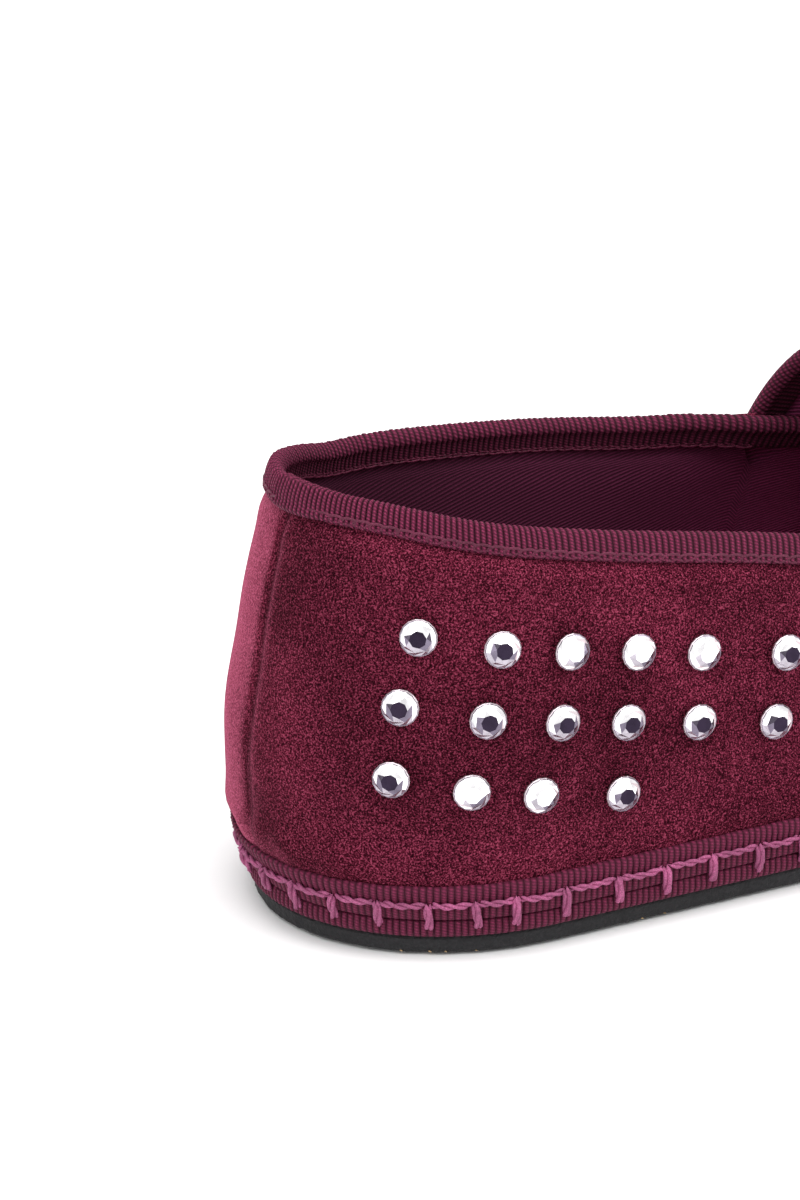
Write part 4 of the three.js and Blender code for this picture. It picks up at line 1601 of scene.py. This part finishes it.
# A strand's distance from the middle of the thread and its thickness, as shares of the thread's radius.
STRAND_OFFSET, STRAND_GIRTH, DRAWN_THIN = 0.52, 0.54, 0.05
UPRIGHT_STEPS, ACROSS_STEPS = 9, 12
UPRIGHT_STRANDS, ACROSS_STRANDS = 3, 2
UPRIGHT_TWIST, ACROSS_TWIST = 9.0, 4.2
UPRIGHT_OUT, UPRIGHT_ARCH = 0.75, 0.7
ACROSS_OUT, ACROSS_ARCH = 0.6, 0.6
ACROSS_THINNER = 0.78
ACROSS_AFTER, ACROSS_BEFORE = 0.35, 0.2
MIDSOLE_OUT = 0.25
# The two rows of machine stitches: where they lie on the collar ribbon, and half the width of a loop.
Chain = collections.namedtuple("Chain", "out past half_width")
CHAINS = (Chain(0.38, -2.65, 0.46), Chain(-1.78, -2.7, 0.22))
CHAIN_TONE = 1.05
CHAIN_END_X = SEAM_X - 1
LOOP_STEPS, LOOP_SIDES = 12, 4
LOOP_REACH, LOOP_LEAN = 0.54, 0.25
LOOP_GIRTH, LOOP_GROWTH = 0.1, 0.22
# A direction that no thread runs along.
ASKEW = Vector((0.3, 0.2, 0.93))


def stitch_distances(pitch):
    """Distances of all hand stitches round the shoe."""
    rest = GIRTH - SEEN_STITCHES[-1] + SEEN_STITCHES[0]
    count = round(rest / pitch)
    return list(SEEN_STITCHES) + [SEEN_STITCHES[-1] + rest * step / count for step in range(1, count)]


def on_band(distance, height, out):
    """Point in front of the hem ribbon and the midsole."""
    rib = rib_at(distance)
    if height > UPPER_BOTTOM:
        offset = out + vamp_step_at(distance) + heel_out(distance, height)
        share = share_at(rib, lambda x: height + lift(x), offset)
        return form(rib, share, offset)
    reach = out + MIDSOLE_OUT + heel_out(distance, height)
    x = rib.base_x + rib.out_x * reach
    y = rib.base_y + rib.out_y * reach
    return Vector((x, y, height + lift(x)))


def twisted_strands(name, path, radius, twist, strands, start):
    """Thread of twisted strands along a path of points, drawn thin at both ends."""
    parts = []
    sides = 6
    steps = len(path) - 1
    travelled = [0.0]
    for here, after in zip(path, path[1:]):
        travelled.append(travelled[-1] + (after - here).length)
    axes = []
    for index in range(len(path)):
        along = (path[min(index + 1, steps)] - path[max(index - 1, 0)]).normalized()
        side = along.cross(ASKEW).normalized()
        axes.append((side, along.cross(side).normalized()))

    def strand_point(order, across, up):
        side, over = axes[across]
        phase = 2 * math.pi * (travelled[across] / twist + order / strands) + start
        centre = path[across] + (side * math.cos(phase) + over * math.sin(phase)) * radius * STRAND_OFFSET
        angle = 2 * math.pi * (up % sides) / sides
        girth = radius * STRAND_GIRTH * (DRAWN_THIN if across in (0, steps) else 1)
        return centre + (side * math.cos(angle) + over * math.sin(angle)) * girth

    for order in range(strands):
        parts.append(shaped_grid(name, steps, sides, functools.partial(strand_point, order)))
    return parts


def upright_path(distance, tilt, top, bottom):
    """Path of a stitch down over the seam, sunk into the cloth at both ends."""
    path = []
    for step in range(UPRIGHT_STEPS + 1):
        t = step / UPRIGHT_STEPS
        height = top + (bottom - top) * t
        out = UPRIGHT_OUT + UPRIGHT_ARCH * math.sin(math.pi * t) ** 0.5
        path.append(on_band(distance + tilt * t, height, out))
    return path


def across_path(start, end, sag):
    """Path of the thread along the top, from one stitch to the next."""
    path = []
    for step in range(ACROSS_STEPS + 1):
        t = step / ACROSS_STEPS
        out = ACROSS_OUT + ACROSS_ARCH * math.sin(math.pi * t) ** 0.4
        path.append(on_band(start + (end - start) * t, STITCH_TOP - sag * math.sin(math.pi * t), out))
    return path


def make_hand_stitching(sizes, colours):
    """Blanket stitch of thick thread over the seam between the upper and the midsole."""
    rng = random.Random(8)
    radius = in_mm(sizes.thread_width) / 2
    distances = stitch_distances(in_mm(sizes.stitch_pitch))
    parts = []
    for order, distance in enumerate(distances):
        after = distances[order + 1] if order + 1 < len(distances) else distances[0] + GIRTH
        top = STITCH_TOP + rng.uniform(0.1, 0.5)
        bottom = STITCH_BOTTOM + rng.uniform(-0.35, 0.35)
        upright = upright_path(distance, rng.uniform(-0.1, 0.5), top, bottom)
        start = rng.uniform(0, 6)
        parts.extend(twisted_strands("upright", upright, radius, UPRIGHT_TWIST, UPRIGHT_STRANDS, start))
        across = across_path(distance + ACROSS_AFTER, after - ACROSS_BEFORE, rng.uniform(0.1, 0.4))
        start = rng.uniform(0, 6)
        thinner = radius * ACROSS_THINNER
        parts.extend(twisted_strands("across", across, thinner, ACROSS_TWIST, ACROSS_STRANDS, start))
    stitching = join(parts, "hand_stitching")
    tidy_mesh(stitching)
    smooth(stitching, 80)
    thread = shared_material("hand_thread", thread_material, "hand_thread", tuple(colours.thread))
    return finish_piece(stitching, (), (thread,))


def bound_point(distance, out, past):
    """Point on a face of the collar binding."""
    rib = rib_at(distance)
    edge = bound_rise(distance) + past
    share = share_at(rib, lambda x: wall_edge(x) + edge)
    return form(rib, share, out - bound_inset(distance) - tuck(rib.station))


def chain_loop(middle, along, out, pitch, half_width):
    """One long loop of the chain, pinched at its ends."""
    up = out.cross(along).normalized()

    def place(across, level):
        turn = 2 * math.pi * (across % LOOP_STEPS) / LOOP_STEPS
        lean = math.sin(turn) + LOOP_LEAN * math.cos(turn)
        ring = along * (math.cos(turn) * pitch * LOOP_REACH) + up * (half_width * lean)
        outward = (along * math.cos(turn) * 0.4 + up * math.sin(turn)).normalized()
        angle = 2 * math.pi * (level % LOOP_SIDES) / LOOP_SIDES
        girth = LOOP_GIRTH + LOOP_GROWTH * half_width
        return middle + ring + outward * (girth * math.cos(angle)) + out * (girth * 0.8 * math.sin(angle))

    return shaped_grid("loop", LOOP_STEPS, LOOP_SIDES, place)


def make_machine_stitching(sizes, colours):
    """Chain of small loops along the lower edge of the collar binding, outside and inside."""
    start = -(GIRTH - distance_of("medial", CHAIN_END_X))
    end = distance_of("lateral", CHAIN_END_X)
    pitch = in_mm(sizes.chain_pitch)
    count = round((end - start) / pitch)
    parts = []
    for chain in CHAINS:
        for order in range(count):
            middle = start + (end - start) * (order + 0.5) / count
            here = bound_point(middle, chain.out, chain.past)
            along = (bound_point(middle + 0.5, chain.out, chain.past) - here).normalized()
            rib = rib_at(middle)
            out = Vector((rib.out_x, rib.out_y, 0)) * math.copysign(1, chain.out)
            parts.append(chain_loop(here, along, out, pitch, chain.half_width))
    stitching = join(parts, "machine_stitching")
    tidy_mesh(stitching)
    smooth(stitching, 80)
    tone = scaled(colours.ribbon, CHAIN_TONE)
    thread = shared_material("ribbon_thread", thread_material, "ribbon_thread", tone)
    return finish_piece(stitching, (), (thread,))


# Stage.

CAMERA_AIM = Vector((30, 0, 25))
CAMERA_TURN = -31.5
CAMERA_HEIGHT = 23.64
CAMERA_ROLL = -0.86
CAMERA_DISTANCE = 650
CAMERA_RIGHT = -6.95
CAMERA_UP = 15.12
CAMERA_FOCUS_PIXELS = 4616.3
PHOTO_HEIGHT = 1200
SENSOR_HEIGHT = 36
NEAR_CLIP = 0.01
FLOOR_SIZE = 6
FLOOR_GAP = 0.0002
LIGHT_AIM = Vector((40, 0, 30))
# Soft square lights, with their places in metres of the frame.
Lamp = collections.namedtuple("Lamp", "name place size power")
LAMPS = (
    Lamp("top_softbox", (-0.15, -0.1, 1.1), 1.2, 18),
    Lamp("left_softbox", (-1.0, -0.25, 0.55), 0.8, 3.5),
    Lamp("right_fill", (0.7, -0.9, 0.7), 0.8, 7),
)
SURROUNDINGS = 0.4


def look_axes(forward):
    """Right and up of a camera that looks along a direction."""
    right = forward.cross(Vector((0, 0, 1))).normalized()
    return right, right.cross(forward).normalized()


def make_camera():
    """Camera at the photo's angle and framing."""
    turn = math.radians(CAMERA_TURN)
    height = math.radians(CAMERA_HEIGHT)
    back = Vector((
        math.sin(turn) * math.cos(height), -math.cos(turn) * math.cos(height), math.sin(height),
    ))
    place = CAMERA_AIM + back * CAMERA_DISTANCE
    right, up = look_axes(-back)
    aim = CAMERA_AIM + right * CAMERA_RIGHT + up * CAMERA_UP
    forward = (aim - place).normalized()
    right, up = look_axes(forward)
    roll = math.radians(CAMERA_ROLL)
    rolled_right = right * math.cos(roll) + up * math.sin(roll)
    rolled_up = up * math.cos(roll) - right * math.sin(roll)
    deselect()
    bpy.ops.object.camera_add()
    camera = bpy.context.active_object
    camera.name = "photo_camera"
    rotation = Matrix((rolled_right, rolled_up, -forward)).transposed()
    camera.matrix_world = Matrix.Translation(to_frame(place)) @ rotation.to_4x4()
    camera.data.sensor_fit = "VERTICAL"
    camera.data.sensor_height = SENSOR_HEIGHT
    camera.data.lens = CAMERA_FOCUS_PIXELS / PHOTO_HEIGHT * SENSOR_HEIGHT
    camera.data.clip_start = NEAR_CLIP
    bpy.context.scene.camera = camera


def make_light(lamp, aim):
    """One soft square light that looks at a point."""
    deselect()
    bpy.ops.object.light_add(type="AREA", location=lamp.place)
    light = bpy.context.active_object
    light.name = lamp.name
    light.data.size = lamp.size
    light.data.energy = lamp.power
    light.rotation_euler = (Vector(lamp.place) - aim).to_track_quat("Z", "Y").to_euler()


def make_floor(colours):
    """Wide pale floor that meets the tread blocks."""
    deselect()
    bpy.ops.mesh.primitive_plane_add(size=1, location=(0, 0, 0))
    floor = bpy.context.active_object
    floor.name = "floor"
    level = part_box("outsole")[0][2] - FLOOR_GAP
    for vertex in floor.data.vertices:
        vertex.co = Vector((vertex.co.x * FLOOR_SIZE, vertex.co.y * FLOOR_SIZE, level))
    floor.data.materials.append(floor_material(colours))
    floor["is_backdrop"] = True


def make_stage(sizes, colours):
    """Camera, floor, soft lights and pale surroundings."""
    make_camera()
    make_floor(colours)
    for lamp in LAMPS:
        make_light(lamp, to_frame(LIGHT_AIM))
    world = bpy.data.worlds.new("studio_surroundings")
    world.use_nodes = True
    background = world.node_tree.nodes["Background"]
    background.inputs["Color"].default_value = (1, 1, 1, 1)
    background.inputs["Strength"].default_value = SURROUNDINGS
    bpy.context.scene.world = world
    bpy.context.scene.view_settings.view_transform = "Standard"


# Add-on.


class FlatShoeSizes(bpy.types.PropertyGroup):
    """Sizes of the cloth and thread detail."""
    rib_pitch: bpy.props.FloatProperty(
        name="Rib pitch", description="Distance between ribbon ribs", default=0.92 * MM, unit="LENGTH")
    stitch_pitch: bpy.props.FloatProperty(
        name="Stitch pitch", description="Distance between hand stitches", default=6.9 * MM, unit="LENGTH")
    thread_width: bpy.props.FloatProperty(
        name="Thread width", description="Width of the hand thread", default=1.3 * MM, unit="LENGTH")
    chain_pitch: bpy.props.FloatProperty(
        name="Chain pitch", description="Length of one machine stitch", default=2.4 * MM, unit="LENGTH")


class FlatShoeColours(bpy.types.PropertyGroup):
    """Colours of the finishes."""
    velvet: bpy.props.FloatVectorProperty(
        name="Velvet", description="Main pile colour", subtype="COLOR", default=(0.083, 0.0080, 0.0205))
    pile_root: bpy.props.FloatVectorProperty(
        name="Pile roots", description="Colour of the shaded pile roots", subtype="COLOR",
        default=(0.0160, 0.0008, 0.0034))
    pile_fleck: bpy.props.FloatVectorProperty(
        name="Pile flecks", description="Colour of the brightest pile flecks", subtype="COLOR",
        default=(0.290, 0.047, 0.091))
    # Painted sheen: colour of the brightest sheen on the pile tips.
    tip_sheen_peak: bpy.props.FloatVectorProperty(
        name="Pile gleam", description="Colour of the brightest pile tips", subtype="COLOR",
        default=(0.600, 0.140, 0.250))
    # Painted sheen: colour of the pile tips where the base colour shows sheen.
    tip_sheen_colour: bpy.props.FloatVectorProperty(
        name="Pile tips", description="Colour of the lit pile tips", subtype="COLOR",
        default=(0.385, 0.062, 0.122))
    sheen: bpy.props.FloatVectorProperty(
        name="Sheen", description="Colour of the cloth sheen", subtype="COLOR", default=(1.0, 0.42, 0.58))
    ribbon: bpy.props.FloatVectorProperty(
        name="Ribbon", description="Ribbon colour", subtype="COLOR", default=(0.105, 0.012, 0.036))
    lining: bpy.props.FloatVectorProperty(
        name="Lining", description="Lining colour", subtype="COLOR", default=(0.105, 0.0140, 0.046))
    thread: bpy.props.FloatVectorProperty(
        name="Thread", description="Hand thread colour", subtype="COLOR", default=(0.31, 0.072, 0.165))
    rubber: bpy.props.FloatVectorProperty(
        name="Rubber", description="Rubber colour", subtype="COLOR", default=(0.018, 0.0175, 0.019))
    cord: bpy.props.FloatVectorProperty(
        name="Cord", description="Cord in the tread stock", subtype="COLOR", default=(0.62, 0.42, 0.22))
    floor: bpy.props.FloatVectorProperty(
        name="Floor", description="Floor colour", subtype="COLOR", default=(0.92, 0.92, 0.92))


def run_maker(context, *makers):
    """Call the makers with the scene's sizes and colours."""
    for maker in makers:
        maker(context.scene.flat_shoe_sizes, context.scene.flat_shoe_colours)
    return {"FINISHED"}


class FLATSHOE_OT_upper(bpy.types.Operator):
    """Velvet upper with its lining"""
    bl_idname = "flatshoe.upper"
    bl_label = "Upper"

    def execute(self, context):
        return run_maker(context, make_upper)


class FLATSHOE_OT_ribbons(bpy.types.Operator):
    """Collar binding, throat binding and hem ribbon"""
    bl_idname = "flatshoe.ribbons"
    bl_label = "Ribbons"

    def execute(self, context):
        return run_maker(context, make_collar_binding, make_throat_binding, make_hem_ribbon)


class FLATSHOE_OT_midsole(bpy.types.Operator):
    """Ribbon-wrapped midsole and the sock above it"""
    bl_idname = "flatshoe.midsole"
    bl_label = "Midsole and insole"

    def execute(self, context):
        return run_maker(context, make_midsole, make_insole)


class FLATSHOE_OT_outsole(bpy.types.Operator):
    """Rubber sole with its tread blocks and cords"""
    bl_idname = "flatshoe.outsole"
    bl_label = "Outsole"

    def execute(self, context):
        return run_maker(context, make_outsole, make_sole_cords)


class FLATSHOE_OT_stones(bpy.types.Operator):
    """Rhinestones on the outer side"""
    bl_idname = "flatshoe.stones"
    bl_label = "Rhinestones"

    def execute(self, context):
        return run_maker(context, make_stones)


class FLATSHOE_OT_stitching(bpy.types.Operator):
    """Hand and machine stitching"""
    bl_idname = "flatshoe.stitching"
    bl_label = "Stitching"

    def execute(self, context):
        return run_maker(context, make_hand_stitching, make_machine_stitching)


class FLATSHOE_OT_stage(bpy.types.Operator):
    """Floor, lights, surroundings and camera"""
    bl_idname = "flatshoe.stage"
    bl_label = "Stage"

    def execute(self, context):
        return run_maker(context, make_stage)


OPERATORS = (
    FLATSHOE_OT_upper, FLATSHOE_OT_ribbons, FLATSHOE_OT_midsole, FLATSHOE_OT_outsole,
    FLATSHOE_OT_stones, FLATSHOE_OT_stitching, FLATSHOE_OT_stage,
)


class FLATSHOE_PT_panel(bpy.types.Panel):
    """Pieces, sizes and colours of the flat"""
    bl_idname = "FLATSHOE_PT_panel"
    bl_label = "Velvet Pointed Flat"
    bl_space_type = "VIEW_3D"
    bl_region_type = "UI"
    bl_category = "Flat Shoe"

    def draw(self, context):
        for operator in OPERATORS:
            self.layout.operator(operator.bl_idname)
        for group in (context.scene.flat_shoe_sizes, context.scene.flat_shoe_colours):
            for name in group.bl_rna.properties.keys():
                if name not in ("rna_type", "name"):
                    self.layout.prop(group, name)


CLASSES = (FlatShoeSizes, FlatShoeColours, *OPERATORS, FLATSHOE_PT_panel)


def register():
    """Add the classes and the scene's sizes and colours."""
    for cls in CLASSES:
        bpy.utils.register_class(cls)
    bpy.types.Scene.flat_shoe_sizes = bpy.props.PointerProperty(type=FlatShoeSizes)
    bpy.types.Scene.flat_shoe_colours = bpy.props.PointerProperty(type=FlatShoeColours)


def unregister():
    """Take the sizes, the colours and the classes out again."""
    del bpy.types.Scene.flat_shoe_colours
    del bpy.types.Scene.flat_shoe_sizes
    for cls in reversed(CLASSES):
        bpy.utils.unregister_class(cls)


def main():
    """Build every piece in order."""
    register()
    bpy.ops.flatshoe.upper()
    bpy.ops.flatshoe.ribbons()
    bpy.ops.flatshoe.midsole()
    bpy.ops.flatshoe.outsole()
    bpy.ops.flatshoe.stones()
    bpy.ops.flatshoe.stitching()
    bpy.ops.flatshoe.stage()
    boxes = {"cad": CAD_BOX, "visual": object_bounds()}
    plain = {name: [[float(value) for value in corner] for corner in box] for name, box in boxes.items()}


if __name__ == "__main__":
    main()
